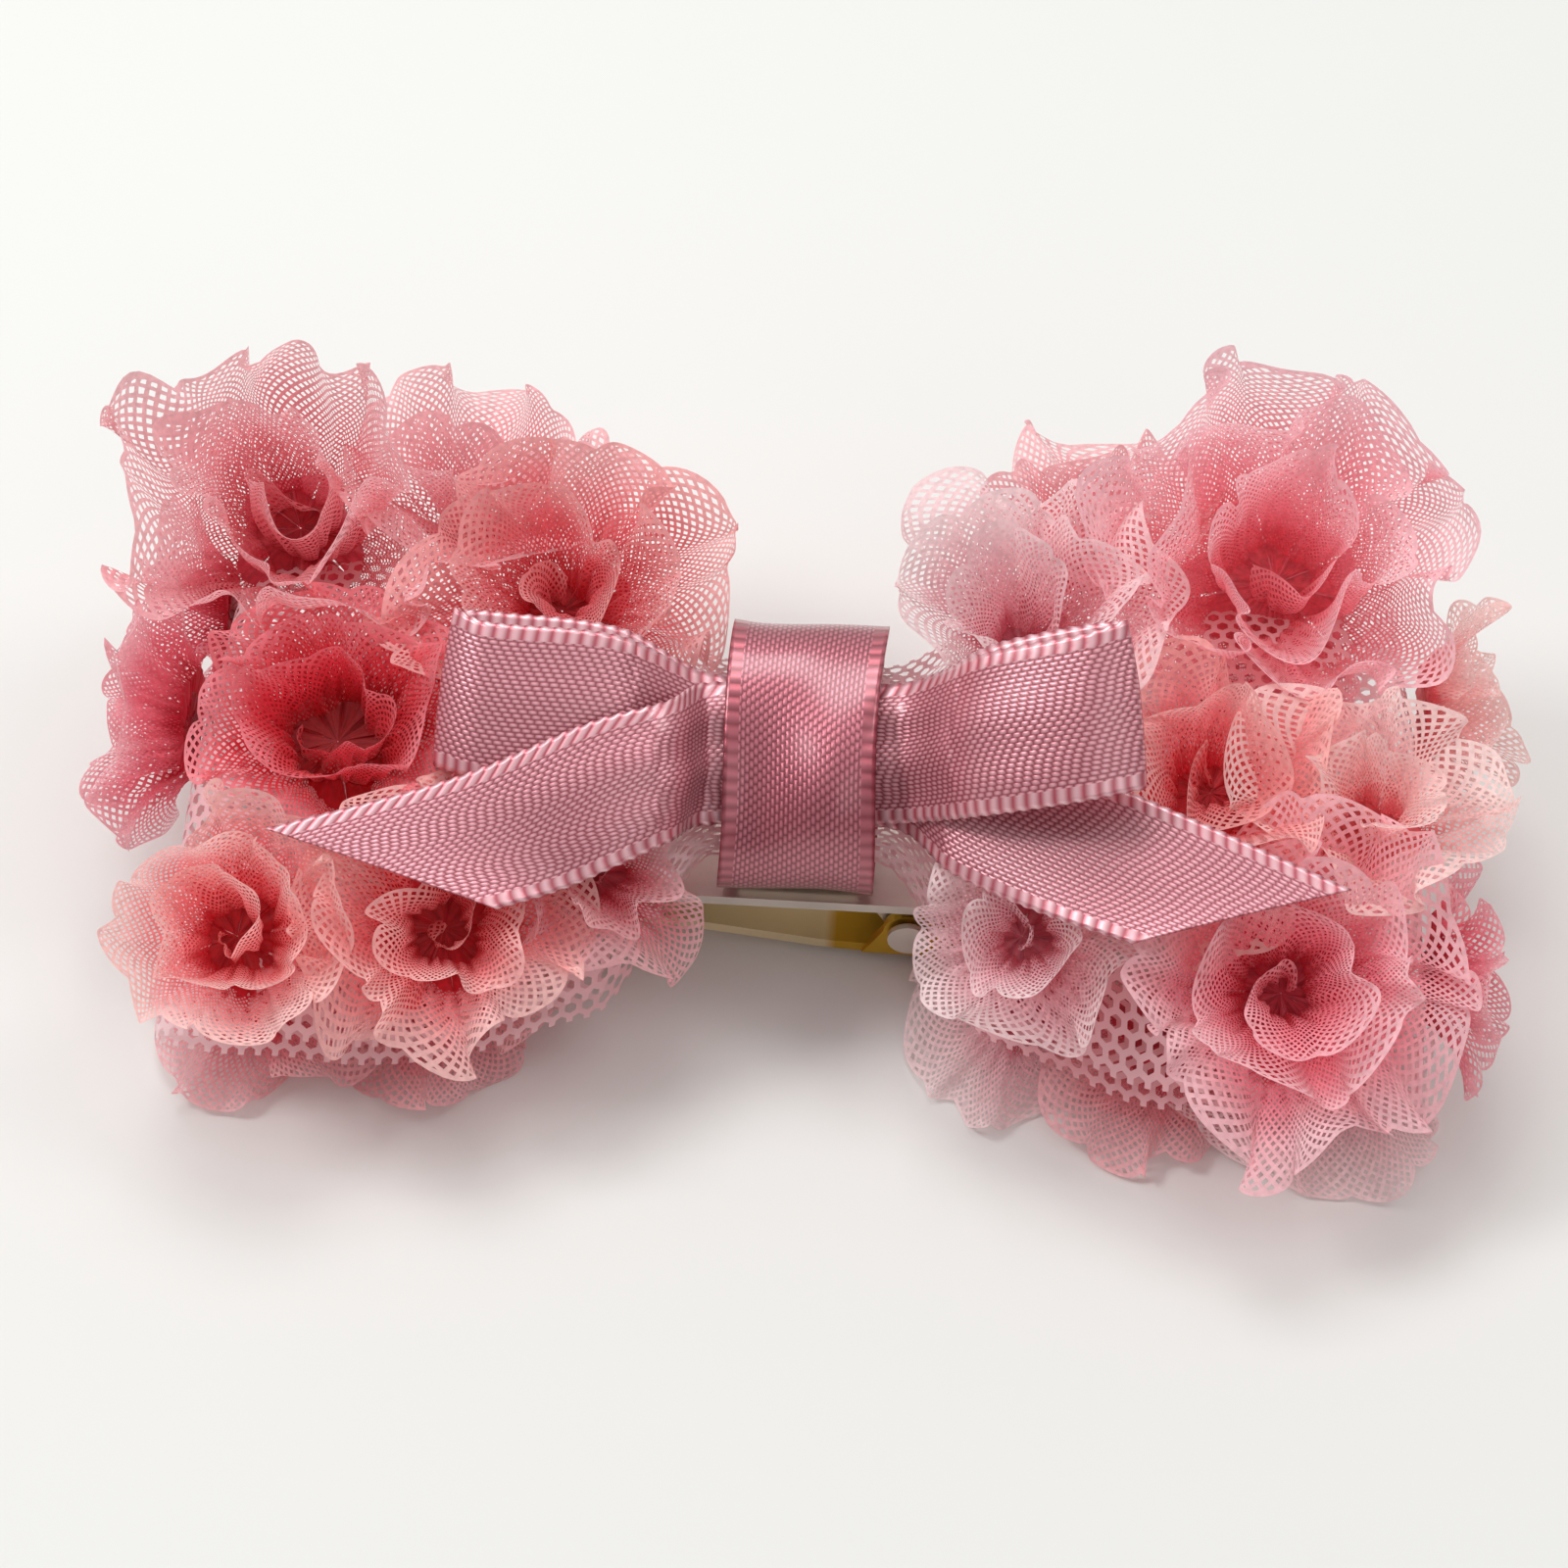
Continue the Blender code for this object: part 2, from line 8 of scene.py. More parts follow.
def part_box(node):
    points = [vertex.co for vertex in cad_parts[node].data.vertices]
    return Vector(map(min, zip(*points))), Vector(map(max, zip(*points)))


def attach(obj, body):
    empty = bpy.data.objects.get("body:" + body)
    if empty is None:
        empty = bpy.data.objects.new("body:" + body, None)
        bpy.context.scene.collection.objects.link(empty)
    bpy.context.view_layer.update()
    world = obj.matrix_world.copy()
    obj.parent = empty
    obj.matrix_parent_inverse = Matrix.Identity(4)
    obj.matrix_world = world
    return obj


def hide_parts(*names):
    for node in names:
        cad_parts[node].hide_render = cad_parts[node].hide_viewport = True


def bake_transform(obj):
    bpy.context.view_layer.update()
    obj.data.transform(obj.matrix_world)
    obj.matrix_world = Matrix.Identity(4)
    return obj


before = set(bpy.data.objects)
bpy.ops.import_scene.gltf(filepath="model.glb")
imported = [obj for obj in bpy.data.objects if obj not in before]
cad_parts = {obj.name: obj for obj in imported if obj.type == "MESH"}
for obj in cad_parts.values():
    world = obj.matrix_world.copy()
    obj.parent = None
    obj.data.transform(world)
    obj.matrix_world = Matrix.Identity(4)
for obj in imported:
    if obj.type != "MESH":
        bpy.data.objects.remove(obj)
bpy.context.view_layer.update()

mm = 0.001
bpy.ops.object.select_all(action="DESELECT")


def centreOf(node):
    low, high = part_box(node)
    return (Vector(low) + Vector(high)) / 2


def linearColour(red, green, blue):
    # screen values 0-255 to the linear values a shader wants
    shares = [value / 255 for value in (red, green, blue)]
    return [s / 12.92 if s <= 0.04045 else ((s + 0.055) / 1.055) ** 2.4 for s in shares]


def ease(share):
    share = np.clip(share, 0.0, 1.0)
    return share * share * (3 - 2 * share)


wrapCentre = centreOf("centre_wrap")

cameraValues = {
    "azimuth": 4.0,
    "elevation": 50.0,
    "lens": 69.5,
    "distance": 199.4 * mm,
    "wrapRight": 1.29 * mm,  # where the wrap sits from the middle of the view
    "wrapUp": 1.81 * mm,
}


def placeCamera(values):
    turn, rise = math.radians(values["azimuth"]), math.radians(values["elevation"])
    back = Vector((math.sin(turn) * math.cos(rise), -math.cos(turn) * math.cos(rise), math.sin(rise)))
    right = Vector((math.cos(turn), math.sin(turn), 0))
    up = back.cross(right)
    data = bpy.data.cameras.new("camera")
    data.lens = values["lens"]
    data.clip_start = 0.01
    camera = bpy.data.objects.new("camera", data)
    spot = wrapCentre + back * values["distance"] - right * values["wrapRight"] - up * values["wrapUp"]
    camera.matrix_world = Matrix.Translation(spot) @ back.to_track_quat("Z", "Y").to_matrix().to_4x4()
    bpy.context.collection.objects.link(camera)
    bpy.context.scene.camera = camera


# lamps in metres and watts, all aimed at the bow
lamps = {
    "keyLight": dict(spot=(-0.06, 0.20, 0.46), power=0.86, size=0.22),
    "sideLight": dict(spot=(-0.36, 0.01, 0.38), power=0.95, size=0.14),
    "rightLight": dict(spot=(0.30, 0.04, 0.42), power=0.34, size=0.16),
    "fillLight": dict(spot=(0.25, -0.45, 0.40), power=0.38, size=0.40),
}
lampTarget = Vector((0, 0, 0.01))

ceilingValues = {
    "brightest": (-0.10, 0.45, 0.887),  # the way to the brightest part
    "colour": (1.0, 0.99, 0.98, 1),
    "From Min": 0.1,
    "From Max": 0.9,
    "To Min": 0.28,
    "To Max": 0.70,
}


def addLamp(name, spot, power, size):
    data = bpy.data.lights.new(name, "AREA")
    data.energy = power
    data.size = size
    lamp = bpy.data.objects.new(name, data)
    spot = Vector(spot)
    aim = (spot - lampTarget).to_track_quat("Z", "Y").to_matrix().to_4x4()
    lamp.matrix_world = Matrix.Translation(spot) @ aim
    bpy.context.collection.objects.link(lamp)


def lightScene(values):
    for name, lamp in lamps.items():
        addLamp(name, **lamp)
    # a bright ceiling that falls off towards the viewer and the walls
    world = bpy.data.worlds.new("studio")
    world.use_nodes = True
    tree = world.node_tree
    sky = tree.nodes["Background"]
    sky.inputs["Color"].default_value = values["colour"]
    way = tree.nodes.new("ShaderNodeTexCoord")
    facing = tree.nodes.new("ShaderNodeVectorMath")
    facing.operation = "DOT_PRODUCT"
    facing.inputs[1].default_value = values["brightest"]
    tree.links.new(way.outputs["Generated"], facing.inputs[0])
    span = tree.nodes.new("ShaderNodeMapRange")
    span.interpolation_type = "SMOOTHSTEP"
    for name in ("From Min", "From Max", "To Min", "To Max"):
        span.inputs[name].default_value = values[name]
    tree.links.new(facing.outputs["Value"], span.inputs["Value"])
    tree.links.new(span.outputs[0], sky.inputs["Strength"])
    scene = bpy.context.scene
    scene.world = world
    scene.view_settings.view_transform = "Standard"
    scene.cycles.transparent_max_bounces = 40
    scene.cycles.diffuse_bounces = 6
    scene.cycles.max_bounces = 16


floorValues = {
    "size": 4.0,
    "colour": (0.73, 0.735, 0.715, 1),
    "roughness": 0.9,
}


def makeFloor(values):
    bpy.ops.mesh.primitive_plane_add(size=values["size"], location=(0, 0, 0))
    floor = bpy.context.object
    floor.name = "floor"
    paint = bpy.data.materials.new("floorPaper")
    paint.use_nodes = True
    shader = paint.node_tree.nodes["Principled BSDF"]
    shader.inputs["Base Color"].default_value = values["colour"]
    shader.inputs["Roughness"].default_value = values["roughness"]
    floor.data.materials.append(paint)
    bpy.ops.object.select_all(action="DESELECT")


placeCamera(cameraValues)
lightScene(ceilingValues)
makeFloor(floorValues)
print("camera, light and floor placed")


class Nodes:
    # a short way to write a chain of math nodes
    def __init__(self, material):
        self.tree = material.node_tree

    def add(self, kind, **inputs):
        node = self.tree.nodes.new(kind)
        for name, value in inputs.items():
            self.feed(node.inputs[name.replace("_", " ")], value)
        return node

    def feed(self, socket, value):
        if isinstance(value, bpy.types.NodeSocket):
            self.tree.links.new(value, socket)
        else:
            socket.default_value = value

    def math(self, operation, first, second=None, third=None):
        node = self.tree.nodes.new("ShaderNodeMath")
        node.operation = operation
        for socket, value in zip(node.inputs, (first, second, third)):
            if value is not None:
                self.feed(socket, value)
        return node.outputs[0]

    def mix(self, factor, first, second):
        node = self.tree.nodes.new("ShaderNodeMix")
        node.data_type = "RGBA"
        self.feed(node.inputs[0], factor)
        self.feed(node.inputs[6], first if isinstance(first, bpy.types.NodeSocket) else (*first, 1))
        self.feed(node.inputs[7], second if isinstance(second, bpy.types.NodeSocket) else (*second, 1))
        return node.outputs[2]

    def uv(self, name="strip"):
        node = self.tree.nodes.new("ShaderNodeUVMap")
        node.uv_map = name
        split = self.add("ShaderNodeSeparateXYZ", Vector=node.outputs[0])
        return split.outputs[0], split.outputs[1]


def newMaterial(name, roughness, sheen=0.0, metallic=0.0):
    material = bpy.data.materials.new(name)
    material.use_nodes = True
    shader = material.node_tree.nodes["Principled BSDF"]
    shader.inputs["Roughness"].default_value = roughness
    shader.inputs["Sheen Weight"].default_value = sheen
    shader.inputs["Metallic"].default_value = metallic
    return material, Nodes(material), shader


def lineAcross(nodes, along, pitch, share):
    # 1 on a thread, 0 in the gap, for threads a pitch apart
    place = nodes.math("PINGPONG", nodes.math("DIVIDE", along, pitch), 0.5)
    return nodes.math("LESS_THAN", place, share / 2)


def seeThrough(nodes, shader, solid, translucence, colour):
    # cloth that lets some light through its threads and all of it through its holes
    output = nodes.tree.nodes["Material Output"]
    glow = nodes.add("ShaderNodeBsdfTranslucent", Color=colour)
    cloth = nodes.tree.nodes.new("ShaderNodeMixShader")
    cloth.inputs[0].default_value = translucence
    nodes.tree.links.new(shader.outputs[0], cloth.inputs[1])
    nodes.tree.links.new(glow.outputs[0], cloth.inputs[2])
    holes = nodes.tree.nodes.new("ShaderNodeBsdfTransparent")
    both = nodes.tree.nodes.new("ShaderNodeMixShader")
    nodes.feed(both.inputs[0], solid)
    nodes.tree.links.new(holes.outputs[0], both.inputs[1])
    nodes.tree.links.new(cloth.outputs[0], both.inputs[2])
    nodes.tree.links.new(both.outputs[0], output.inputs["Surface"])


meshValues = {
    "pitch": 0.43,  # millimetres between threads
    "threadShare": 0.44,
    "translucence": 0.50,
    "roughness": 0.50,
    "sheen": 0.25,
    "fleckScale": 2600.0,
    "fleckRange": 0.5,
    "fleckLow": 0.77,  # how dark the darkest thread is
}


def rosetteMeshMaterial(values):
    material, nodes, shader = newMaterial("rosetteMesh", values["roughness"], values["sheen"])
    u, v = nodes.uv()
    tint = nodes.add("ShaderNodeAttribute")
    tint.attribute_name = "tint"
    edge = nodes.add("ShaderNodeAttribute")
    edge.attribute_name = "rim"
    one = nodes.math("ADD", u, v)
    other = nodes.math("SUBTRACT", u, v)
    pitch = values["pitch"] * math.sqrt(2)
    threads = nodes.math(
        "MAXIMUM",
        lineAcross(nodes, one, pitch, values["threadShare"]),
        lineAcross(nodes, other, pitch, values["threadShare"]),
    )
    solid = nodes.math("MAXIMUM", threads, nodes.math("GREATER_THAN", edge.outputs["Fac"], 0.5))
    seat = nodes.add("ShaderNodeTexCoord")
    fleck = nodes.add(
        "ShaderNodeTexNoise", Vector=seat.outputs["Object"], Scale=values["fleckScale"], Detail=1.0
    )
    lift = nodes.math("MULTIPLY_ADD", fleck.outputs["Fac"], values["fleckRange"], values["fleckLow"])
    shaded = nodes.tree.nodes.new("ShaderNodeVectorMath")
    shaded.operation = "SCALE"
    nodes.feed(shaded.inputs[0], tint.outputs["Color"])
    nodes.feed(shaded.inputs["Scale"], lift)
    nodes.feed(shader.inputs["Base Color"], shaded.outputs[0])
    seeThrough(nodes, shader, solid, values["translucence"], shaded.outputs[0])
    return material


netValues = {
    "pitch": 1.12,  # millimetres across a hole
    "threadShare": 0.36,
    "colour": (250, 226, 229),
    "flush": (238, 176, 182),  # the pinker patches
    "flushScale": 70.0,
    "flushRange": 2.2,
    "flushStart": -0.75,
    "translucence": 0.35,
    "roughness": 0.55,
    "sheen": 0.2,
}


def netMaterial(values):
    # hexagonal holes: the distance to the nearest cell edge of a honeycomb
    material, nodes, shader = newMaterial("hexNet", values["roughness"], values["sheen"])
    u, v = nodes.uv()
    root = math.sqrt(3)
    x = nodes.math("DIVIDE", u, values["pitch"])
    y = nodes.math("DIVIDE", v, values["pitch"])

    def cellShare(shiftX, shiftY):
        a = nodes.math("FRACT", nodes.math("ADD", x, shiftX))
        b = nodes.math("FRACT", nodes.math("ADD", nodes.math("DIVIDE", y, root), shiftY))
        a = nodes.math("ABSOLUTE", nodes.math("SUBTRACT", a, 0.5))
        b = nodes.math("ABSOLUTE", nodes.math("MULTIPLY", nodes.math("SUBTRACT", b, 0.5), root))
        slant = nodes.math("ADD", nodes.math("MULTIPLY", a, 0.5), nodes.math("MULTIPLY", b, root / 2))
        return nodes.math("MAXIMUM", a, slant)

    near = nodes.math("MINIMUM", cellShare(0.0, 0.0), cellShare(0.5, 0.5))
    solid = nodes.math("GREATER_THAN", near, 0.5 - values["threadShare"] / 2)
    seat = nodes.add("ShaderNodeTexCoord")
    blot = nodes.add(
        "ShaderNodeTexNoise", Vector=seat.outputs["Object"], Scale=values["flushScale"], Detail=2.0
    )
    colour = nodes.mix(
        nodes.math("MULTIPLY_ADD", blot.outputs["Fac"], values["flushRange"], values["flushStart"]),
        linearColour(*values["colour"]),
        linearColour(*values["flush"]),
    )
    nodes.feed(shader.inputs["Base Color"], colour)
    seeThrough(nodes, shader, solid, values["translucence"], colour)
    return material


satinValues = {
    "colour": (154, 56, 72),
    # light is the colour of the float tops, a painted highlight on the weave
    "light": (242, 172, 184),
    "selvageWidth": 0.95,  # millimetres
    "halfWidth": 5.0,
    "ribPitch": 0.92,
    "ribLight": (240, 184, 192),
    "ribDark": (184, 70, 88),
    "lustre": 0.42,
    "roughness": 0.36,
    "stretch": 0.6,  # how far its shine is drawn out along the threads
    "coatRoughness": 0.26,
    "floatLength": 0.62,
    "floatWidth": 0.30,
    "floatShift": 0.4,  # from one row of floats to the next
    "relief": 0.06 * mm,
    "reliefStrength": 0.55,
}

# the wrap is the same satin painted darker, a painted shade, and given more lustre
shadedWrapValues = dict(
    satinValues,
    colour=(122, 34, 50),
    light=(206, 116, 132),
    ribLight=(176, 84, 98),
    ribDark=(140, 46, 62),
    lustre=0.62,
)


def satinMaterial(name, values):
    material, nodes, shader = newMaterial(name, values["roughness"], 0.0, values["lustre"])
    shader.inputs["Anisotropic"].default_value = values["stretch"]
    shader.inputs["Coat Weight"].default_value = 1.0
    shader.inputs["Coat Roughness"].default_value = values["coatRoughness"]
    shader.inputs["Specular IOR Level"].default_value = 1.0
    u, v = nodes.uv()
    row = nodes.math("FLOOR", nodes.math("DIVIDE", v, values["floatWidth"]))
    shift = nodes.math("MULTIPLY", row, values["floatShift"])
    along = nodes.math("FRACT", nodes.math("ADD", nodes.math("DIVIDE", u, values["floatLength"]), shift))
    across = nodes.math("FRACT", nodes.math("DIVIDE", v, values["floatWidth"]))
    hump = nodes.math(
        "MULTIPLY",
        nodes.math("SINE", nodes.math("MULTIPLY", along, math.pi)),
        nodes.math("SINE", nodes.math("MULTIPLY", across, math.pi)),
    )
    # each float's top is painted lighter: a painted highlight that draws the weave, beside the real bump
    body = nodes.mix(hump, linearColour(*values["colour"]), linearColour(*values["light"]))
    fromMiddle = nodes.math("ABSOLUTE", v)
    inSelvage = nodes.math("GREATER_THAN", fromMiddle, values["halfWidth"] - values["selvageWidth"])
    rib = nodes.math("FRACT", nodes.math("DIVIDE", u, values["ribPitch"]))
    rib = nodes.math("SINE", nodes.math("MULTIPLY", rib, math.pi))
    rib = nodes.math("POWER", rib, 1.5)
    edge = nodes.mix(rib, linearColour(*values["ribDark"]), linearColour(*values["ribLight"]))
    colour = nodes.mix(inSelvage, body, edge)
    nodes.feed(shader.inputs["Base Color"], colour)
    height = nodes.math(
        "ADD",
        nodes.math("MULTIPLY", hump, nodes.math("SUBTRACT", 1.0, inSelvage)),
        nodes.math("MULTIPLY", rib, nodes.math("MULTIPLY", inSelvage, 1.6)),
    )
    bump = nodes.add("ShaderNodeBump", Strength=values["reliefStrength"], Height=height)
    bump.inputs["Distance"].default_value = values["relief"]
    nodes.feed(shader.inputs["Normal"], bump.outputs[0])
    tangent = nodes.tree.nodes.new("ShaderNodeTangent")
    tangent.direction_type = "UV_MAP"
    tangent.uv_map = "strip"
    nodes.feed(shader.inputs["Tangent"], tangent.outputs[0])
    return material


def metalMaterial(name, colour, roughness, scratch):
    material, nodes, shader = newMaterial(name, roughness, metallic=1.0)
    seat = nodes.add("ShaderNodeTexCoord")
    stretch = nodes.add("ShaderNodeMapping", Vector=seat.outputs["Object"])
    stretch.inputs["Scale"].default_value = (120, 2400, 1600)
    grain = nodes.add("ShaderNodeTexNoise", Vector=stretch.outputs[0], Scale=1.0, Detail=4.0)
    worn = nodes.add("ShaderNodeTexNoise", Vector=seat.outputs["Object"], Scale=240.0, Detail=3.0)
    base = linearColour(*colour)
    dull = [c * 0.72 for c in base]
    nodes.feed(shader.inputs["Base Color"], nodes.mix(worn.outputs["Fac"], base, dull))
    rough = nodes.math("MULTIPLY_ADD", grain.outputs["Fac"], scratch, roughness)
    nodes.feed(shader.inputs["Roughness"], rough)
    bump = nodes.add("ShaderNodeBump", Strength=0.2, Distance=0.00002, Height=grain.outputs["Fac"])
    nodes.feed(shader.inputs["Normal"], bump.outputs[0])
    return material


def plainMaterial(name, colour, roughness, sheen):
    material, nodes, shader = newMaterial(name, roughness, sheen)
    seat = nodes.add("ShaderNodeTexCoord")
    patch = nodes.add("ShaderNodeTexNoise", Vector=seat.outputs["Object"], Scale=900.0, Detail=2.0)
    base = linearColour(*colour)
    nodes.feed(shader.inputs["Base Color"], nodes.mix(patch.outputs["Fac"], base, [c * 0.8 for c in base]))
    return material


leverValues = {
    "brass": (226, 184, 66),
    "jaw": (236, 222, 184),
    "roughness": 0.34,
    "scratch": 0.2,
    "jawEnd": 1.8 * mm,  # x where the pale jaw starts to turn to brass, and where it has turned
    "brassStart": 2.6 * mm,
}


def leverMaterial(values):
    # pale over the jaw, turning to brass over the ears and press tab
    material = metalMaterial("brassPlate", values["brass"], values["roughness"], values["scratch"])
    nodes = Nodes(material)
    shader = material.node_tree.nodes["Principled BSDF"]
    plated = shader.inputs["Base Color"].links[0].from_socket
    seat = nodes.add("ShaderNodeTexCoord")
    place = nodes.add("ShaderNodeSeparateXYZ", Vector=seat.outputs["Object"])
    share = nodes.add("ShaderNodeMapRange", Value=place.outputs[0])
    share.inputs["From Min"].default_value = values["jawEnd"]
    share.inputs["From Max"].default_value = values["brassStart"]
    jaw = linearColour(*values["jaw"])
    nodes.feed(shader.inputs["Base Color"], nodes.mix(share.outputs[0], jaw, plated))
    return material


meshCloth = rosetteMeshMaterial(meshValues)
netCloth = netMaterial(netValues)
satinCloth = satinMaterial("satinRibbon", satinValues)
wrapCloth = satinMaterial("satinWrap", shadedWrapValues)
nickel = metalMaterial("nickelPlate", (238, 232, 222), 0.34, 0.2)
lever = leverMaterial(leverValues)
threadCloth = plainMaterial("thread", (196, 104, 118), 0.55, 0.2)
glue = plainMaterial("driedGlue", (238, 230, 212), 0.22, 0.0)
steel = metalMaterial("springSteel", (176, 174, 170), 0.32, 0.1)
print("materials made")


def gridSheet(name, points, uv, material, closed=False, tint=None, rim=None):
    # points is rows x columns x 3; closed joins the last row to the first
    rows, columns = points.shape[:2]
    mesh = bpy.data.meshes.new(name)
    index = np.arange(rows * columns).reshape(rows, columns)
    low = index if closed else index[:-1]
    high = np.roll(index, -1, axis=0) if closed else index[1:]
    faces = np.stack([low[:, :-1], high[:, :-1], high[:, 1:], low[:, 1:]], axis=-1).reshape(-1, 4)
    mesh.from_pydata(points.reshape(-1, 3).tolist(), [], faces.tolist())
    layer = mesh.uv_layers.new(name="strip")
    corners = np.empty(len(mesh.loops), dtype=np.int32)
    mesh.loops.foreach_get("vertex_index", corners)
    layer.data.foreach_set("uv", uv.reshape(-1, 2)[corners].ravel())
    if tint is not None:
        store = mesh.attributes.new("tint", "FLOAT_COLOR", "POINT")
        full = np.concatenate([tint.reshape(-1, 3), np.ones((rows * columns, 1))], axis=1)
        store.data.foreach_set("color", full.ravel())
    if rim is not None:
        store = mesh.attributes.new("rim", "FLOAT", "POINT")
        store.data.foreach_set("value", rim.ravel())
    mesh.materials.append(material)
    mesh.shade_smooth()
    sheet = bpy.data.objects.new(name, mesh)
    bpy.context.collection.objects.link(sheet)
    return sheet


def closeUv(sheet, whole):
    # the last faces of a closed strip run on to its full length, not back to 0
    layer = sheet.data.uv_layers["strip"].data
    corners = np.empty(len(sheet.data.loops) * 2)
    layer.foreach_get("uv", corners)
    corners = corners.reshape(-1, 4, 2)
    last = corners[:, 0, 0] > whole * 0.9
    turned = last[:, None] & (corners[:, 1:3, 0] < whole * 0.1)
    corners[:, 1:3, 0] = np.where(turned, whole, corners[:, 1:3, 0])
    layer.foreach_set("uv", corners.ravel())


def waves(place, seed, count=4, slowest=1.0):
    # smooth wandering numbers along place, about -1 to 1
    source = np.random.default_rng(seed)
    total = np.zeros_like(place)
    for step in range(count):
        speed = slowest * (1 + step * 0.83) * source.uniform(0.85, 1.15)
        total += np.sin(place * speed * 2 * math.pi + source.uniform(0, 2 * math.pi)) / (1 + step * 0.6)
    return total / 1.6


netShape = {
    "halfLength": 41.0,
    "foldDepth": 7.0,
    "lobeHalfWidth": 20.5,
    "lobeCentreY": -0.5,
    "innerShare": 0.66,
    "flareStart": 5.4,
    "flareLength": 7.5,
    "flareWidthLength": 20.0,
    "topMiddle": 16.0,
    "topLean": 3.2,
    "topCrown": 5.4,
    "bottomMiddle": 7.6,
    "bottomCrown": 3.0,
    "waistHalfWidth": 6.4,
    "waistHalfHeight": 2.4,
    "waistDrop": 1.5,
    "waistLean": 30.0,
    "inset": 0.4,  # the cloth runs down the middle of its solid
    "waistEdge": 0.45,  # height of the pinched waist at its edges, of its middle
    "columns": 61,
    "rows": 121,  # along each level layer
    "foldRows": 16,
    "hollow": 0.35,  # how deep it sinks between stitches
    "gather": 0.35,
    "gatherStart": 5.0,
    "gatherReach": 6.0,
    "smoothWaist": 6.5,  # half the length that the wrap keeps smooth
}


def netWidth(x):
    s = netShape
    grown = ease((np.abs(x) - s["flareStart"]) / s["flareWidthLength"])
    return s["lobeHalfWidth"] * (s["innerShare"] + (1 - s["innerShare"]) * grown)


def netPoint(x, across, side):
    # millimetres; side 1 is the top layer and -1 the bottom
    s = netShape
    lean = math.radians(s["waistLean"])
    bulge = s["waistEdge"] + (1 - s["waistEdge"]) * (1 - across * across)
    along = s["waistHalfWidth"] * across
    out = side * s["waistHalfHeight"] * bulge - s["waistDrop"]
    waistY = wrapCentre.y / mm + along * math.cos(lean) - out * math.sin(lean)
    waistZ = wrapCentre.z / mm + along * math.sin(lean) + out * math.cos(lean)
    top = s["topMiddle"] + s["topLean"] * across - s["topCrown"] * across * across - s["inset"]
    bottom = s["bottomMiddle"] - s["bottomCrown"] * across * across + s["inset"]
    lobeZ = top if side > 0 else bottom
    lobeY = s["lobeCentreY"] + netWidth(x) * across
    blend = ease((np.abs(x) - s["flareStart"]) / s["flareLength"])
    return np.stack([x, waistY + (lobeY - waistY) * blend, waistZ + (lobeZ - waistZ) * blend], axis=-1)


def foldPoint(end, across, turn):
    s = netShape
    start = end * (s["halfLength"] - s["foldDepth"]) * np.ones_like(across)
    top, bottom = netPoint(start, across, 1), netPoint(start, across, -1)
    point = (top + bottom) / 2 + (top - bottom) / 2 * np.cos(turn)[..., None]
    point[..., 0] = start + end * (s["foldDepth"] - s["inset"]) * np.sin(turn)
    return point


def makeNet():
    s = netShape
    across = np.linspace(-1, 1, s["columns"])
    reach = s["halfLength"] - s["foldDepth"]
    level = np.linspace(-reach, reach, s["rows"])
    turns = np.linspace(0, math.pi, s["foldRows"] + 2)[1:-1]
    rings = [netPoint(np.full_like(across, x), across, 1) for x in level]
    rings += [foldPoint(1, across, np.full_like(across, t)) for t in turns]
    rings += [netPoint(np.full_like(across, x), across, -1) for x in level[::-1]]
    rings += [foldPoint(-1, across, np.full_like(across, t)) for t in turns[::-1]]
    points = np.array(rings)
    # soft hollows between the stitches, and gathers that fade away from the waist
    alongX, alongY = points[..., 0], np.broadcast_to(across, points.shape[:2])
    hollow = s["hollow"] * np.sin(alongX * 0.55 + 1.3) * np.cos(alongY * 7.0 + alongX * 0.2)
    fade = np.exp(-(((np.abs(alongX) - s["gatherStart"]) / s["gatherReach"]) ** 2))
    gather = s["gather"] * fade * np.sin(alongY * 21.0)
    keep = 1 - np.exp(-((alongX / s["smoothWaist"]) ** 4))
    points[..., 2] += (hollow + gather) * keep
    step = np.linalg.norm(np.diff(points, axis=0, append=points[:1]), axis=-1)
    lengths = np.concatenate([np.zeros((1, len(across))), np.cumsum(step[:-1], axis=0)])
    middle = lengths.mean(axis=1, keepdims=True) * np.ones_like(lengths)
    width = np.broadcast_to(across * s["lobeHalfWidth"], middle.shape)
    uv = np.stack([middle, width], axis=-1)
    net = gridSheet("netStrip", points * mm, uv, netCloth, closed=True)
    closeUv(net, middle[-1, 0] + step[-1].mean())
    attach(net, "bow")
    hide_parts("net_strip")
    return net


makeNet()
print("net folded into two loops")

ribbonShape = {
    "width": 10.0,
    "lean": 40.0,  # degrees the folded ribbon leans back
    "rowStep": 0.13,
    "columns": 30,
    "thickness": 0.22,
    "crown": 0.22,
    "crease": 0.16,  # how deep the folds beside the wrap are
    "creaseReach": 5.5,
    "arch": 1.2,  # how far its middle stands up where the wrap holds it
    "ribDepth": 0.05,
    "ribPitch": 0.92,
}

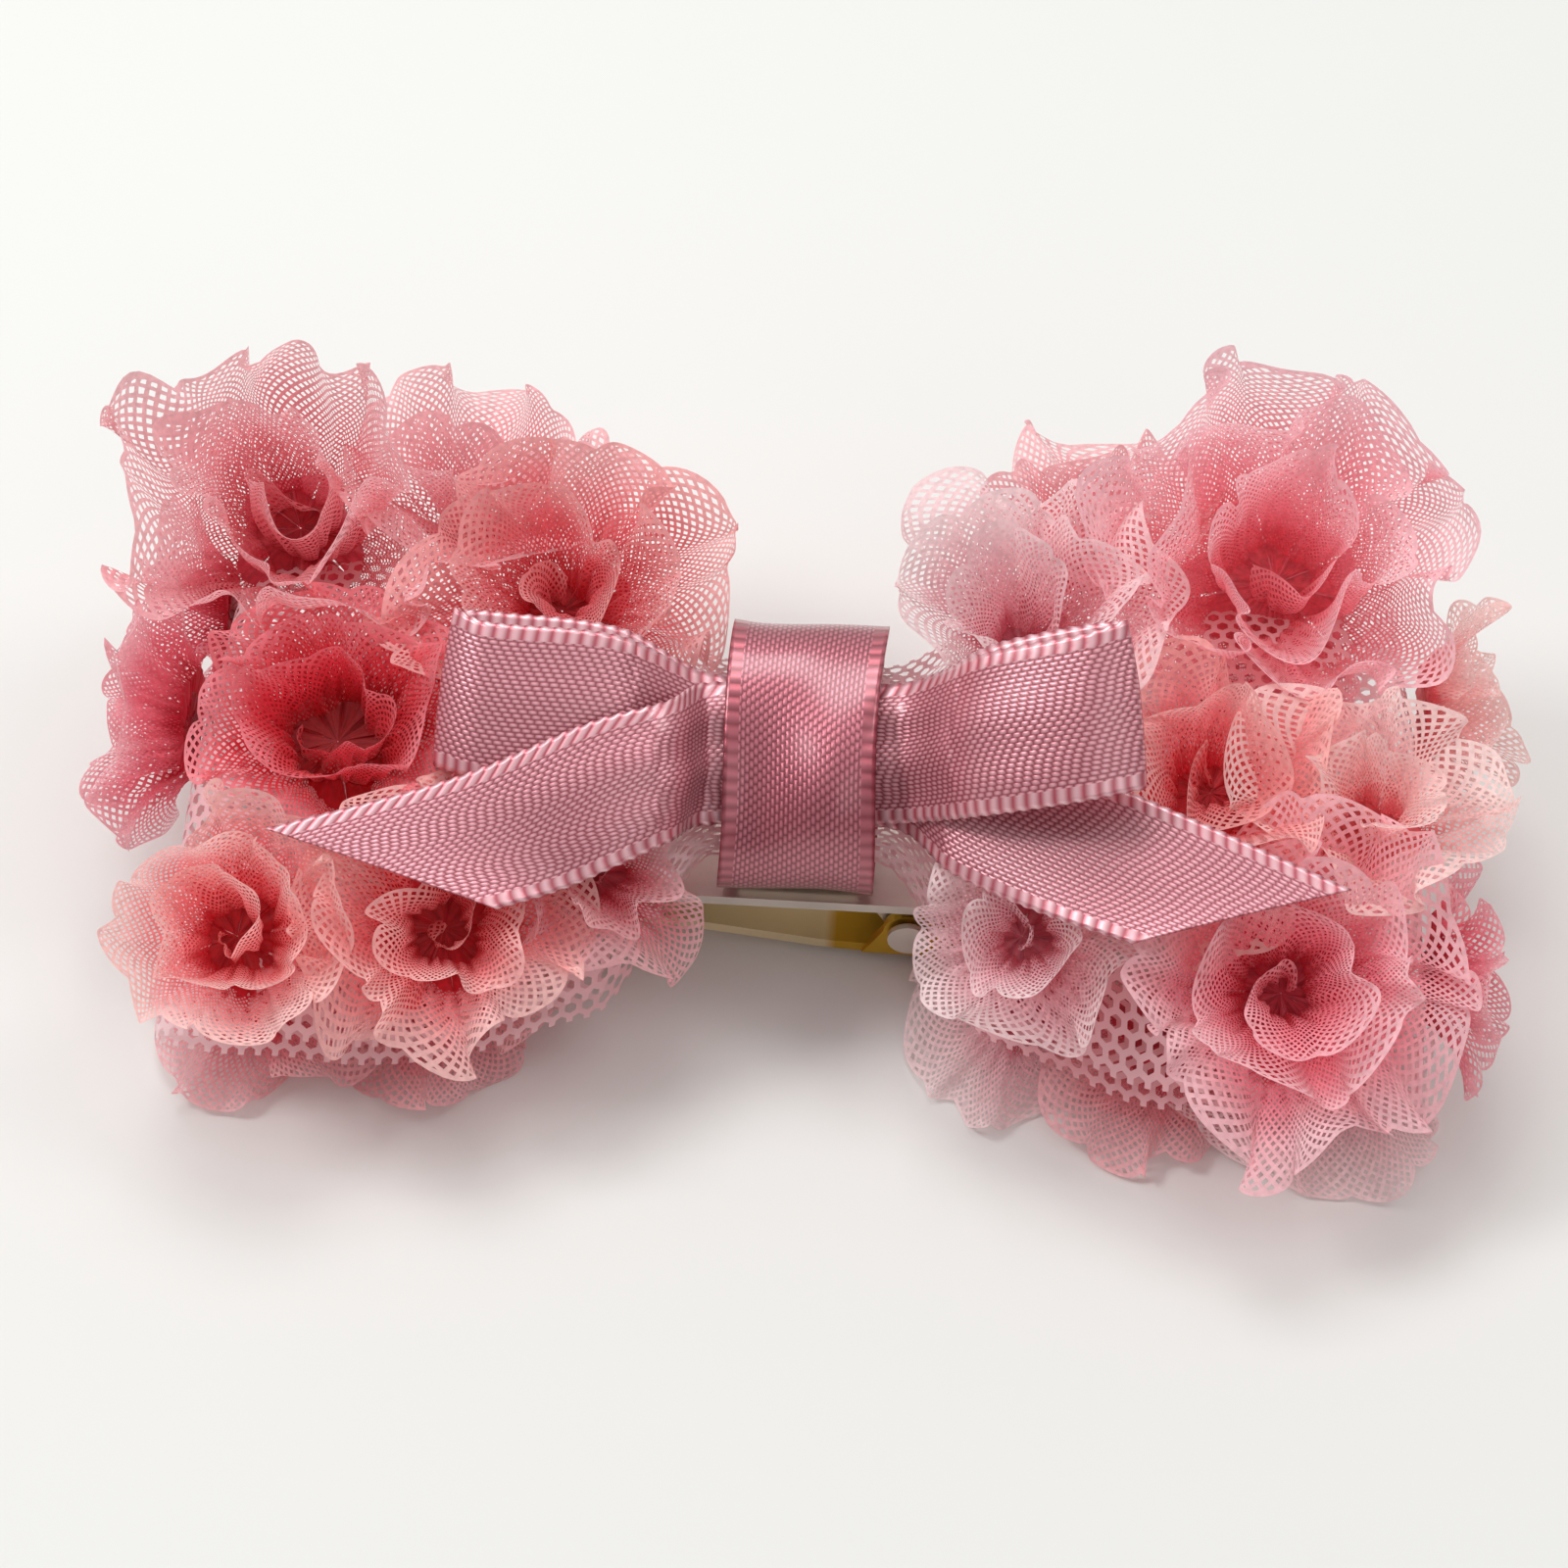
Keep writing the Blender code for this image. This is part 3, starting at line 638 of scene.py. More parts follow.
# Stations from the right tail's tip to the left tail's: x of the lower and upper edge, the two
# edges measured up the leaning plane, and the height out of it, all from the wrap's centre
ribbonPath = {
    "rightTail": (
        (21.3, 34.5, -10.5, -6.5, 12.2),
        (15.5, 21.8, -9.0, -1.6, 9.8),
        (10.0, 13.0, -6.9, 1.2, 6.6),
    ),
    "crossingOne": ((6.2, 6.2, -4.4, 4.6, 2.8), (-6.2, -6.2, -4.2, 5.0, 2.8)),
    "leftLoop": (
        (-12.0, -12.0, -2.6, 7.6, 4.2),
        (-20.0, -20.0, -2.2, 8.2, 5.2),
        (-23.0, -22.2, -1.9, 8.2, 5.9),
        (-23.2, -22.4, -1.9, 8.2, 7.0),
        (-20.2, -20.2, -2.6, 7.4, 8.3),
        (-12.0, -12.0, -3.0, 7.0, 7.4),
    ),
    "crossingTwo": ((-6.2, -6.2, -4.0, 5.0, 3.25), (6.2, 6.2, -4.0, 5.0, 3.25)),
    "rightLoop": (
        (12.0, 12.0, -2.8, 7.6, 8.6),
        (17.5, 17.5, -1.8, 9.0, 11.0),
        (21.2, 19.6, -1.0, 9.3, 11.8),
        (21.4, 19.8, -1.0, 9.3, 12.8),
        (17.5, 17.5, -2.0, 8.4, 13.2),
        (11.6, 11.6, -3.2, 7.0, 10.2),
    ),
    "crossingThree": ((6.2, 6.2, -4.0, 5.0, 3.7), (-6.2, -6.2, -4.8, 4.4, 3.7)),
    "leftTail": (
        (-8.0, -8.6, -5.9, 2.9, 8.3),
        (-10.5, -13.0, -7.3, 1.4, 9.6),
        (-14.3, -21.5, -9.2, -2.6, 9.9),
        (-18.2, -33.0, -10.6, -6.4, 11.4),
    ),
}
lean = math.radians(ribbonShape["lean"])
planeUp = np.array([0, math.cos(lean), math.sin(lean)])
planeOut = np.array([0, -math.sin(lean), math.cos(lean)])
wrapMiddle = np.array(wrapCentre) / mm


def throughStations(stations, step):
    # a smooth line through rows of numbers, its points a step apart along the first three
    stations = np.array(stations, float)
    ends = np.concatenate([2 * stations[:1] - stations[1:2], stations, 2 * stations[-1:] - stations[-2:-1]])
    rows = []
    for i in range(1, len(ends) - 2):
        before, here, there, after = ends[i - 1 : i + 3]
        gone = max(np.linalg.norm((there - here)[:3]), np.linalg.norm((there - here)[3:6]))
        count = max(int(gone / step), 3)
        t = (np.arange(count) / count)[:, None]
        # slopes scaled by spacing keep tight folds from swinging wide
        span = max(np.linalg.norm(there - here), 1e-6)
        slopeHere = (there - before) / (span + max(np.linalg.norm(here - before), 1e-6)) * span
        slopeThere = (after - here) / (span + max(np.linalg.norm(after - there), 1e-6)) * span
        rows.append(
            (2 * t**3 - 3 * t**2 + 1) * here
            + (t**3 - 2 * t**2 + t) * slopeHere
            + (-2 * t**3 + 3 * t**2) * there
            + (t**3 - t**2) * slopeThere
        )
    rows.append(ends[-2:-1])
    return np.concatenate(rows)


def ribbonGrid():
    s = ribbonShape
    centre = wrapMiddle * (0, 1, 1)
    stations = []
    for xLow, xHigh, low, high, out in (row for rows in ribbonPath.values() for row in rows):
        edges = [
            centre + (x, 0, 0) + planeUp * along + planeOut * out
            for x, along in ((xLow, low), (xHigh, high))
        ]
        stations.append(np.concatenate(edges))
    line = throughStations(stations, s["rowStep"])
    low, high = line[:, :3], line[:, 3:6]
    across = np.linspace(-1, 1, s["columns"])
    points = low[:, None] + (high - low)[:, None] * ((across + 1) / 2)[None, :, None]
    ahead = np.gradient(points.mean(axis=1), axis=0)
    side = high - low
    facing = np.cross(ahead, side)
    facing /= np.linalg.norm(facing, axis=1, keepdims=True) + 1e-9
    # outwards on every layer, so the crown and the creases don't turn over at a fold
    outwards = np.where((facing @ planeOut)[:, None] < 0, -facing, facing)
    fromWrap = np.abs(points[..., 0].mean(axis=1)) - s["width"] / 2
    fade = np.exp(-np.maximum(fromWrap, 0) / s["creaseReach"])[:, None]
    layer = np.floor(np.arange(len(line)) / len(line) * 7)[:, None]
    crease = s["crease"] * fade * np.cos(math.pi * (across[None, :] * 2.4 + 0.9 * layer))
    crown = s["crown"] * (1 - fade) * (1 - across[None, :] ** 2)
    arch = s["arch"] * fade * (1 - across[None, :] ** 2)
    points = points + outwards[:, None] * (crease + crown + arch)[..., None]
    runs = np.linalg.norm(np.diff(points, axis=0, prepend=points[:1]), axis=-1)
    along = np.cumsum(runs, axis=0)
    middle = int(np.argmin(np.abs(points[:, 0, 0]) + np.arange(len(line)) * 0.001))
    along = along - along[middle][None, :]
    rib = np.sin(2 * math.pi * along[:, [0, -1]] / s["ribPitch"]) * s["ribDepth"]
    reach = side / np.linalg.norm(side, axis=1, keepdims=True)
    points[:, 0] -= reach * rib[:, :1]
    points[:, -1] += reach * rib[:, 1:]
    uv = np.stack([along, np.broadcast_to(across * s["width"] / 2, along.shape)], axis=-1)
    return points, uv


def finishRibbon(ribbon, node):
    wall = ribbon.modifiers.new("wall", "SOLIDIFY")
    wall.thickness = ribbonShape["thickness"] * mm
    wall.offset = 0
    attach(ribbon, "bow")
    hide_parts(node)


ribbonPoints, ribbonUv = ribbonGrid()
ribbon = gridSheet("satinBow", ribbonPoints * mm, ribbonUv, satinCloth)
finishRibbon(ribbon, "satin_ribbon")

wrapShape = {
    "halfWidth": 9.1,
    "halfHeight": 6.5,
    "lean": 30.0,
    "inset": 0.25,
    "wave": 0.80,  # how far its folds stand in and out
    "edgeWave": 0.12,
    "sideWave": 0.10,  # how far the whole band wanders to the side
    "drawnIn": 0.20,  # how far its middle is drawn in between its stiffer edges
    "rows": 420,
    "columns": 34,
}


def wrapGrid():
    s = wrapShape
    tilt = math.radians(s["lean"])
    angle = np.linspace(0, 2 * math.pi, s["rows"], endpoint=False)[:, None]
    across = np.linspace(-1, 1, s["columns"])[None, :]
    pull = s["wave"] * np.cos(angle - 1.9) ** 2 * np.sin(across * 2.6 + 0.6)
    pull = pull + 0.5 * s["wave"] * np.sin(3 * angle + across * 1.9) * (1 - across**2)
    inward = s["inset"] + s["drawnIn"] * (1 - across**2)
    wide = s["halfWidth"] - inward + pull * 0.4
    tall = s["halfHeight"] - inward + pull
    y, z = wide * np.cos(angle), tall * np.sin(angle)
    halfBand = ribbonShape["width"] / 2
    x = halfBand * across + s["edgeWave"] * np.sin(2 * angle + 1.2) * across
    x = x + s["sideWave"] * np.sin(3 * angle + 0.7)
    along = y * math.cos(tilt) - z * math.sin(tilt)
    rise = y * math.sin(tilt) + z * math.cos(tilt)
    points = np.stack([x, wrapMiddle[1] + along, wrapMiddle[2] + rise], axis=-1)
    runs = np.linalg.norm(np.diff(points, axis=0, append=points[:1]), axis=-1).mean(axis=1)
    length = float(runs.sum())
    run = np.concatenate([[0], np.cumsum(runs[:-1])])[:, None] * np.ones_like(across)
    uv = np.stack([run, np.broadcast_to(across * halfBand, run.shape)], axis=-1)
    return points, uv, length


wrapPoints, wrapUv, wrapLength = wrapGrid()
wrap = gridSheet("satinWrap", wrapPoints * mm, wrapUv, wrapCloth, closed=True)
closeUv(wrap, wrapLength)
finishRibbon(wrap, "centre_wrap")
print("satin ribbon folded and wrapped")

clipLooks = {
    "clip_upper_plate": nickel,
    "glue_pad": glue,
    "clip_lever": lever,
    "hinge_pin": nickel,
}
for node, look in clipLooks.items():
    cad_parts[node].material_slots[0].material = look


def wireThrough(name, places, radius, material):
    curve = bpy.data.curves.new(name, "CURVE")
    curve.dimensions = "3D"
    curve.bevel_depth = radius * mm
    curve.bevel_resolution = 3
    curve.use_fill_caps = True
    spline = curve.splines.new("POLY")
    spline.points.add(len(places) - 1)
    for point, place in zip(spline.points, places):
        point.co = (*(place * mm), 1)
    wire = bpy.data.objects.new(name, curve)
    bpy.context.collection.objects.link(wire)
    bpy.ops.object.select_all(action="DESELECT")
    wire.select_set(True)
    bpy.context.view_layer.objects.active = wire
    bpy.ops.object.convert(target="MESH")
    bpy.ops.object.shade_smooth()
    bpy.ops.object.select_all(action="DESELECT")
    wire.data.materials.append(material)
    return wire


threadShape = {
    "turns": 3,
    "radius": 0.16,
    "spacing": 0.36,
    "steps": 64,  # points round one turn
}


def makeThread():
    # wound round the net's waist, where the wrap hides most of it
    s = threadShape
    low, high = (Vector(corner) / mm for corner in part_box("gathering_thread"))
    middle, reach = (low + high) / 2, (high - low) / 2
    tilt = math.radians(wrapShape["lean"])
    cosine, sine = math.cos(tilt) ** 2, math.sin(tilt) ** 2
    wide = math.sqrt((reach.y**2 * cosine - reach.z**2 * sine) / (cosine - sine)) - reach.x
    tall = math.sqrt((reach.z**2 * cosine - reach.y**2 * sine) / (cosine - sine)) - reach.x
    places = []
    for i in range(s["turns"] * s["steps"] + 1):
        turned = i / s["steps"]
        y, z = wide * math.cos(2 * math.pi * turned), tall * math.sin(2 * math.pi * turned)
        x = (turned - s["turns"] / 2) * s["spacing"]
        along, rise = y * math.cos(tilt) - z * math.sin(tilt), y * math.sin(tilt) + z * math.cos(tilt)
        places.append(middle + Vector((x, along, rise)))
    thread = wireThrough("windingThread", places, s["radius"], threadCloth)
    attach(thread, "bow")
    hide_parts("gathering_thread")


springShape = {
    "wireRadius": 0.25,
    "coilRadius": 1.5,
    "pitch": 0.65,
    "turns": 3,
    "leg": 6.0,
    "lowerDrop": 0.2,  # how far the lower leg reaches below the coil
    "bend": 0.6,  # height over which it changes from the bow to the lever
    "steps": 32,
}


def makeSpring():
    s = springShape
    hinge = centreOf("hinge_pin")
    half = s["pitch"] * s["turns"] / 2
    line = [(s["leg"], -half, s["coilRadius"])]
    for i in range(s["turns"] * s["steps"] + s["steps"] // 2 + 1):
        angle = math.pi / 2 + 2 * math.pi * i / s["steps"]
        along = min(-half + s["pitch"] * i / s["steps"], half)
        line.append((s["coilRadius"] * math.cos(angle), along, s["coilRadius"] * math.sin(angle)))
    line.append((s["leg"], half, -s["coilRadius"] - s["lowerDrop"]))
    places = [hinge / mm + Vector(place) for place in line]
    spring = wireThrough("clipSpring", places, s["wireRadius"], steel)
    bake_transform(spring)
    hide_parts("clip_spring")


makeThread()
makeSpring()
print("clip and thread finished")

# edge, body and deep colour of each mesh: its own hues, with the deep colour at the foot darkened as
# painted shade of the hollows
palette = {
    "coral": ((254, 208, 204), (248, 140, 144), (216, 42, 56)),
    "brick": ((246, 182, 182), (234, 112, 120), (200, 20, 38)),
    "rose": ((252, 206, 212), (248, 142, 158), (210, 44, 70)),
    "candy": ((252, 208, 214), (248, 156, 168), (236, 120, 134)),
    "dusk": ((246, 186, 194), (236, 116, 134), (192, 20, 48)),
    "blush": ((246, 194, 198), (234, 134, 144), (210, 70, 86)),
    "shell": ((254, 226, 222), (250, 190, 188), (228, 104, 110)),
    "pale": ((250, 226, 228), (242, 186, 194), (216, 108, 124)),
    "red": ((248, 150, 160), (226, 54, 70), (182, 4, 20)),
}

# millimetres and degrees: radius of the coil's foot, width of the mesh strip, turns of the coil,
# lean of its innermost and outermost turns, outward curl of its edge, and its colours.
# hollow is an open middle's radius, face how far it is turned to the front, bowl how far its
# petals spread and close again, and deep how high its darkest colour, a painted shade, reaches
sewnUnder = dict(turns=2.2, lean=(14, 74), curl=12, deep=0.15)
rosettes = {
    "left_back_corner": dict(
        foot=4.8, strip=13.4, turns=2.6, lean=(2, 40), curl=14, colour="blush",
        hollow=1.5, face=0.65, bowl=28, deep=0.2,
    ),
    "left_back_inner": dict(
        foot=3.6, strip=10.8, turns=2.4, lean=(0, 68), curl=15, colour="blush",
        face=0.2, deep=0.15,
    ),
    "left_middle_inner": dict(
        foot=4.6, strip=10.0, turns=3.0, lean=(4, 74), curl=14, colour="brick",
        face=0.5, bowl=14,
    ),
    "left_middle_outer": dict(
        foot=5.0, strip=6.8, turns=2.4, lean=(10, 80), curl=14, colour="red",
        hollow=2.2, deep=0.40,
    ),
    "left_front_corner": dict(
        foot=4.0, strip=8.4, turns=3.4, lean=(0, 46), curl=10, colour="coral",
        bowl=16,
    ),
    "left_front_middle": dict(
        foot=4.6, strip=7.2, turns=2.8, lean=(8, 80), curl=12, colour="coral",
        hollow=1.0,
    ),
    "left_front_inner": dict(foot=2.8, strip=6.2, turns=2.2, lean=(4, 78), curl=12, colour="blush"),
    "right_back_corner": dict(
        foot=6.6, strip=12.6, turns=4.2, lean=(-2, 46), curl=12, colour="candy",
        face=0.7, bowl=34, deep=0.2,
    ),
    "right_back_inner": dict(
        foot=3.4, strip=9.0, turns=2.2, lean=(0, 66), curl=16, colour="blush",
        face=0.3,
    ),
    "right_middle_inner": dict(
        foot=4.0, strip=9.6, turns=3.0, lean=(2, 70), curl=24, colour="pale",
        face=0.4,
    ),
    "right_middle_outer": dict(foot=4.4, strip=7.4, turns=2.6, lean=(6, 78), curl=14, colour="coral"),
    "right_side": dict(foot=3.6, strip=7.4, turns=2.4, lean=(4, 72), curl=16, colour="shell"),
    "right_front_corner": dict(foot=5.2, strip=8.6, turns=3.2, lean=(4, 78), curl=14, colour="rose"),
    "right_front_inner": dict(foot=3.4, strip=6.6, turns=2.4, lean=(6, 80), curl=12, colour="pale"),
    "left_end": dict(foot=4.0, strip=7.2, turns=2.6, lean=(6, 72), curl=16, colour="dusk"),
    "left_end_back": dict(foot=3.6, strip=7.6, turns=2.2, lean=(6, 76), curl=16, colour="dusk"),
    "right_end": dict(foot=4.2, strip=6.0, turns=2.6, lean=(6, 70), curl=16, colour="shell"),
    "right_end_front": dict(foot=3.6, strip=5.4, turns=2.6, lean=(6, 70), curl=16, colour="dusk"),
    "left_under_corner": dict(sewnUnder, foot=3.8, strip=7.0, colour="blush"),
    "left_under_front": dict(sewnUnder, foot=4.0, strip=7.2, colour="blush"),
    "left_under_back": dict(sewnUnder, foot=4.4, strip=6.8, colour="dusk"),
    "left_under_inner": dict(sewnUnder, foot=3.8, strip=6.4, colour="coral"),
    "right_under_inner": dict(sewnUnder, foot=3.4, strip=6.6, colour="pale"),
    "right_under_front": dict(sewnUnder, foot=3.8, strip=7.2, colour="blush"),
    "right_under_corner": dict(sewnUnder, foot=4.0, strip=7.6, colour="pale"),
    "right_under_back": dict(sewnUnder, foot=4.4, strip=6.8, colour="dusk"),
}

stripShape = {
    "innerRadius": 0.3,
    "overlap": 0.6,  # turns added to every coil
    "edgeStretch": 1.25,  # length along the edge for each millimetre at mid height
    "innerWidth": 0.80,  # the strip is narrower at its inner end
    "widthWander": 0.09,
    "widthLength": 22.0,
    "leanWander": 11,  # degrees
    "leanLength": 17.0,
    "bowlReturn": 0.7,  # a bowl's edges come back in by this share of its spread
    "droop": 0.016,
    "footRise": 0.25,
    "swirl": 0.22,
    "swirlLength": 9.0,
    "tighten": 1.35,
    "closing": 16,  # degrees the innermost turns lean in over the middle
    "columnStep": 0.20,  # millimetres between points along the strip, at mid height
    "acrossStrip": 18,  # points up the strip
    "scallop": 3.5,  # millimetres from one scallop to the next
    "scallopRound": 0.6,  # less makes their edges fuller
    "tuckedShare": 0.30,  # height left at the tucked ends
    "footLean": (0.5, 0.55),  # lean at the foot as a share of the innermost and outermost
    "notch": 1.0,  # how deep the scallops are cut
    "gathering": 1.62,  # cloth along the strip for each millimetre at mid height
    "tuck": 6.0,  # millimetres over which each end of the strip is tucked down
    "ruffle": 0.95,  # millimetres the edge waves in and out
    "ruffleLength": 8.0,
    "pleat": 0.30,  # millimetres of the finer gathers at the foot
    "crush": 0.40,
    "crushLength": 9.0,
    "corners": 0.13,  # how far the coil is from round
}


def faceOf(name, across, x):
    # outward direction of the cloth where a rosette is sewn
    step = 1e-3
    end = 1 if x > 0 else -1
    a = np.array([across])
    if "_end" in name:
        turn = np.array([math.pi / 2])
        du = foldPoint(end, a, turn + step) - foldPoint(end, a, turn - step)
        dv = foldPoint(end, a + step, turn) - foldPoint(end, a - step, turn)
    else:
        side = -1 if "_under" in name else 1
        place = np.array([x])
        du = netPoint(place + step, a, side) - netPoint(place - step, a, side)
        dv = netPoint(place, a + step, side) - netPoint(place, a - step, side)
    normal = Vector(np.cross(du[0], dv[0])).normalized()
    wanted = Vector((end, 0, 0)) if "_end" in name else Vector((0, 0, -1 if "_under" in name else 1))
    return normal if normal.dot(wanted) > 0 else -normal


def coilStrip(spec, seed):
    # the strip in the rosette's own frame, millimetres, sewn at z = 0 and opening upwards
    s = stripShape
    foot, inner, strip = spec["foot"], spec.get("hollow", s["innerRadius"]), spec["strip"]
    leanIn, leanOut = (math.radians(v) for v in spec["lean"])
    leanIn = leanIn - math.radians(s["closing"])
    # points evenly spread along the strip at mid height
    rough = np.linspace(0, 1, 2000)
    coil = 2 * math.pi * (spec["turns"] + s["overlap"])
    turned = coil * rough
    leans = leanIn + (leanOut - leanIn) * rough
    middle = inner + (foot - inner) * rough ** s["tighten"] + 0.5 * strip * np.sin(leans)
    walked = np.concatenate([[0], np.cumsum(0.5 * (middle[1:] + middle[:-1]) * np.diff(turned))])
    count = int(walked[-1] / s["columnStep"])
    along = np.linspace(0, walked[-1], count)
    share = np.interp(along, walked, rough)
    angle = coil * share
    edgeRun = along * s["edgeStretch"]
    up = np.linspace(0, 1, s["acrossStrip"])
    cut = np.abs(np.sin(math.pi * edgeRun / s["scallop"])) ** s["scallopRound"]
    wander = 1 + s["widthWander"] * waves(edgeRun / s["widthLength"], seed, 3)
    width = strip * (s["innerWidth"] + (1 - s["innerWidth"]) * share) * wander
    tucked = ease(along / s["tuck"]) * ease((walked[-1] - along) / s["tuck"])
    height = (width - s["notch"] * (1 - cut)) * (s["tuckedShare"] + (1 - s["tuckedShare"]) * tucked)
    footIn, footOut = leanIn * s["footLean"][0], leanOut * s["footLean"][1]
    lowLean = footIn + (footOut - footIn) * share
    sway = math.radians(s["leanWander"]) * waves(edgeRun / s["leanLength"], seed + 1, 3)
    highLean = leanIn + (leanOut - leanIn) * share + sway
    bowl = math.radians(spec.get("bowl", 0)) * share
    lowLean, highLean = lowLean + bowl, highLean - s["bowlReturn"] * bowl
    slope = lowLean[:, None] + (highLean - lowLean)[:, None] * up[None, :] ** 0.8
    slope = slope + math.radians(spec["curl"]) * up[None, :] ** 5
    rise = height[:, None] / (len(up) - 1)
    out = np.cumsum(np.sin(slope) * rise, axis=1) - np.sin(slope[:, :1]) * rise
    top = np.cumsum(np.cos(slope) * rise, axis=1) - np.cos(slope[:, :1]) * rise
    ripple = waves(edgeRun / s["ruffleLength"], seed + 2, 2) + 0.15 * waves(edgeRun / 3.4, seed + 7, 2)
    wave = s["ruffle"] * (0.30 + 0.70 * share)[:, None] * up[None, :] ** 1.2 * ripple[:, None]
    gather = s["pleat"] * np.sin(math.pi * np.minimum(up * 1.5 + 0.1, 1))[None, :]
    wave = wave + gather * waves(edgeRun / 1.9, seed + 3, 2)[:, None]
    out = out + wave * np.cos(slope)
    top = top - wave * np.sin(slope)
    bent = np.cos(5 * angle / 1.13 + seed) + 0.6 * np.cos(3 * angle / 0.93 + 2.0 * seed)
    radius = (inner + (foot - inner) * share ** s["tighten"]) * (1 + s["corners"] * bent)
    distance = radius[:, None] + out
    turnAside = s["swirl"] * up[None, :] ** 2 * waves(edgeRun / s["swirlLength"], seed + 4, 2)[:, None]
    swirl = angle[:, None] + turnAside
    points = np.stack([distance * np.cos(swirl), distance * np.sin(swirl), top], axis=-1)
    # a spread petal falls back towards the net
    points[..., 2] -= s["droop"] * np.maximum(distance - foot, 0) ** 2
    # crushed a little out of shape, more towards the edge
    draw = np.random.default_rng(seed + 40)
    for _ in range(4):
        way = draw.normal(size=3)
        push = draw.normal(size=3) * s["crush"]
        phase = draw.uniform(0, 2 * math.pi)
        size = np.sin(points @ (way / np.linalg.norm(way) / s["crushLength"]) * 2 * math.pi + phase)
        points = points + (size * up[None, :])[..., None] * push
    # the sewn foot runs in under the turn before it
    spacing = np.gradient(radius, angle) * 2 * math.pi
    inside = np.maximum(radius - np.abs(spacing), 0.05)
    sewn = np.stack([inside * np.cos(angle), inside * np.sin(angle), s["footRise"] + 0 * angle], axis=-1)
    points = np.concatenate([sewn[:, None], points], axis=1)
    up = np.concatenate([[-0.12], up])
    gathered = along[:, None] * s["gathering"] * np.ones(len(up))
    uv = np.stack([gathered, up[None, :] * height[:, None]], axis=-1)
    return points, uv, share, up, height, edgeRun


petalDyeAndShade = {
    "blotches": 0.10,  # how far patches of colour climb or sink
    "blotchLength": 12.0,
    "innerClimb": 0.62,  # how far up its colours the innermost turn gets
    "edgeHeight": 0.92,  # where the edge colour is reached
    "usualDeep": 0.30,
}


def colourStrip(spec, share, up, edgeRun, seed):
    s = petalDyeAndShade
    edge, body, deep = (np.array(linearColour(*c)) for c in palette[spec["colour"]])
    blotches = s["blotches"] * waves(edgeRun / s["blotchLength"], seed + 5, 3)[:, None]
    reach = s["innerClimb"] + (1 - s["innerClimb"]) * share[:, None]
    climb = np.maximum(up, 0)[None, :] * reach + blotches
    turn = spec.get("deep", s["usualDeep"])
    # darker towards the foot and in the innermost turns: painted shade of the hollows
    low = ease(climb / turn)[..., None]
    high = ease((climb - turn) / (s["edgeHeight"] - turn))[..., None]
    return deep * (1 - low) + (body * (1 - high) + edge * high) * low


# petals stay under the satin ribbon and clear of the wrap, in millimetres
pressing = {
    "cell": 0.5,
    "halfLength": 38.0,
    "halfHeight": 16.0,
    "slope": 1.3,  # how steeply the ceiling rises past the ribbon's outline
    "clear": 0.35,
    "soft": 1.1,
    "wrapEdge": 5.25,
}


def ribbonUnderside():
    # height of the ribbon's lowest layer over the leaning plane, rising beyond its outline
    s = pressing
    rows = ribbonPoints[::2].reshape(-1, 3) - wrapMiddle * (0, 1, 1)
    along, up, out = rows[:, 0], rows @ planeUp, rows @ planeOut
    i = ((along + s["halfLength"]) / s["cell"]).astype(int)
    j = ((up + s["halfHeight"]) / s["cell"]).astype(int)
    shape = (int(2 * s["halfLength"] / s["cell"]) + 1, int(2 * s["halfHeight"] / s["cell"]) + 1)
    field = np.full(shape, np.inf)
    np.minimum.at(field, (i, j), out)
    filled = np.argwhere(np.isfinite(field))
    heights = field[filled[:, 0], filled[:, 1]]
    cells = np.argwhere(np.ones(shape, bool))
    for start in range(0, len(cells), 500):
        some = cells[start : start + 500]
        far = np.linalg.norm(some[:, None] - filled[None], axis=-1) * s["cell"]
        field[some[:, 0], some[:, 1]] = (heights[None] + s["slope"] * far).min(axis=1)
    return field


underside = ribbonUnderside()


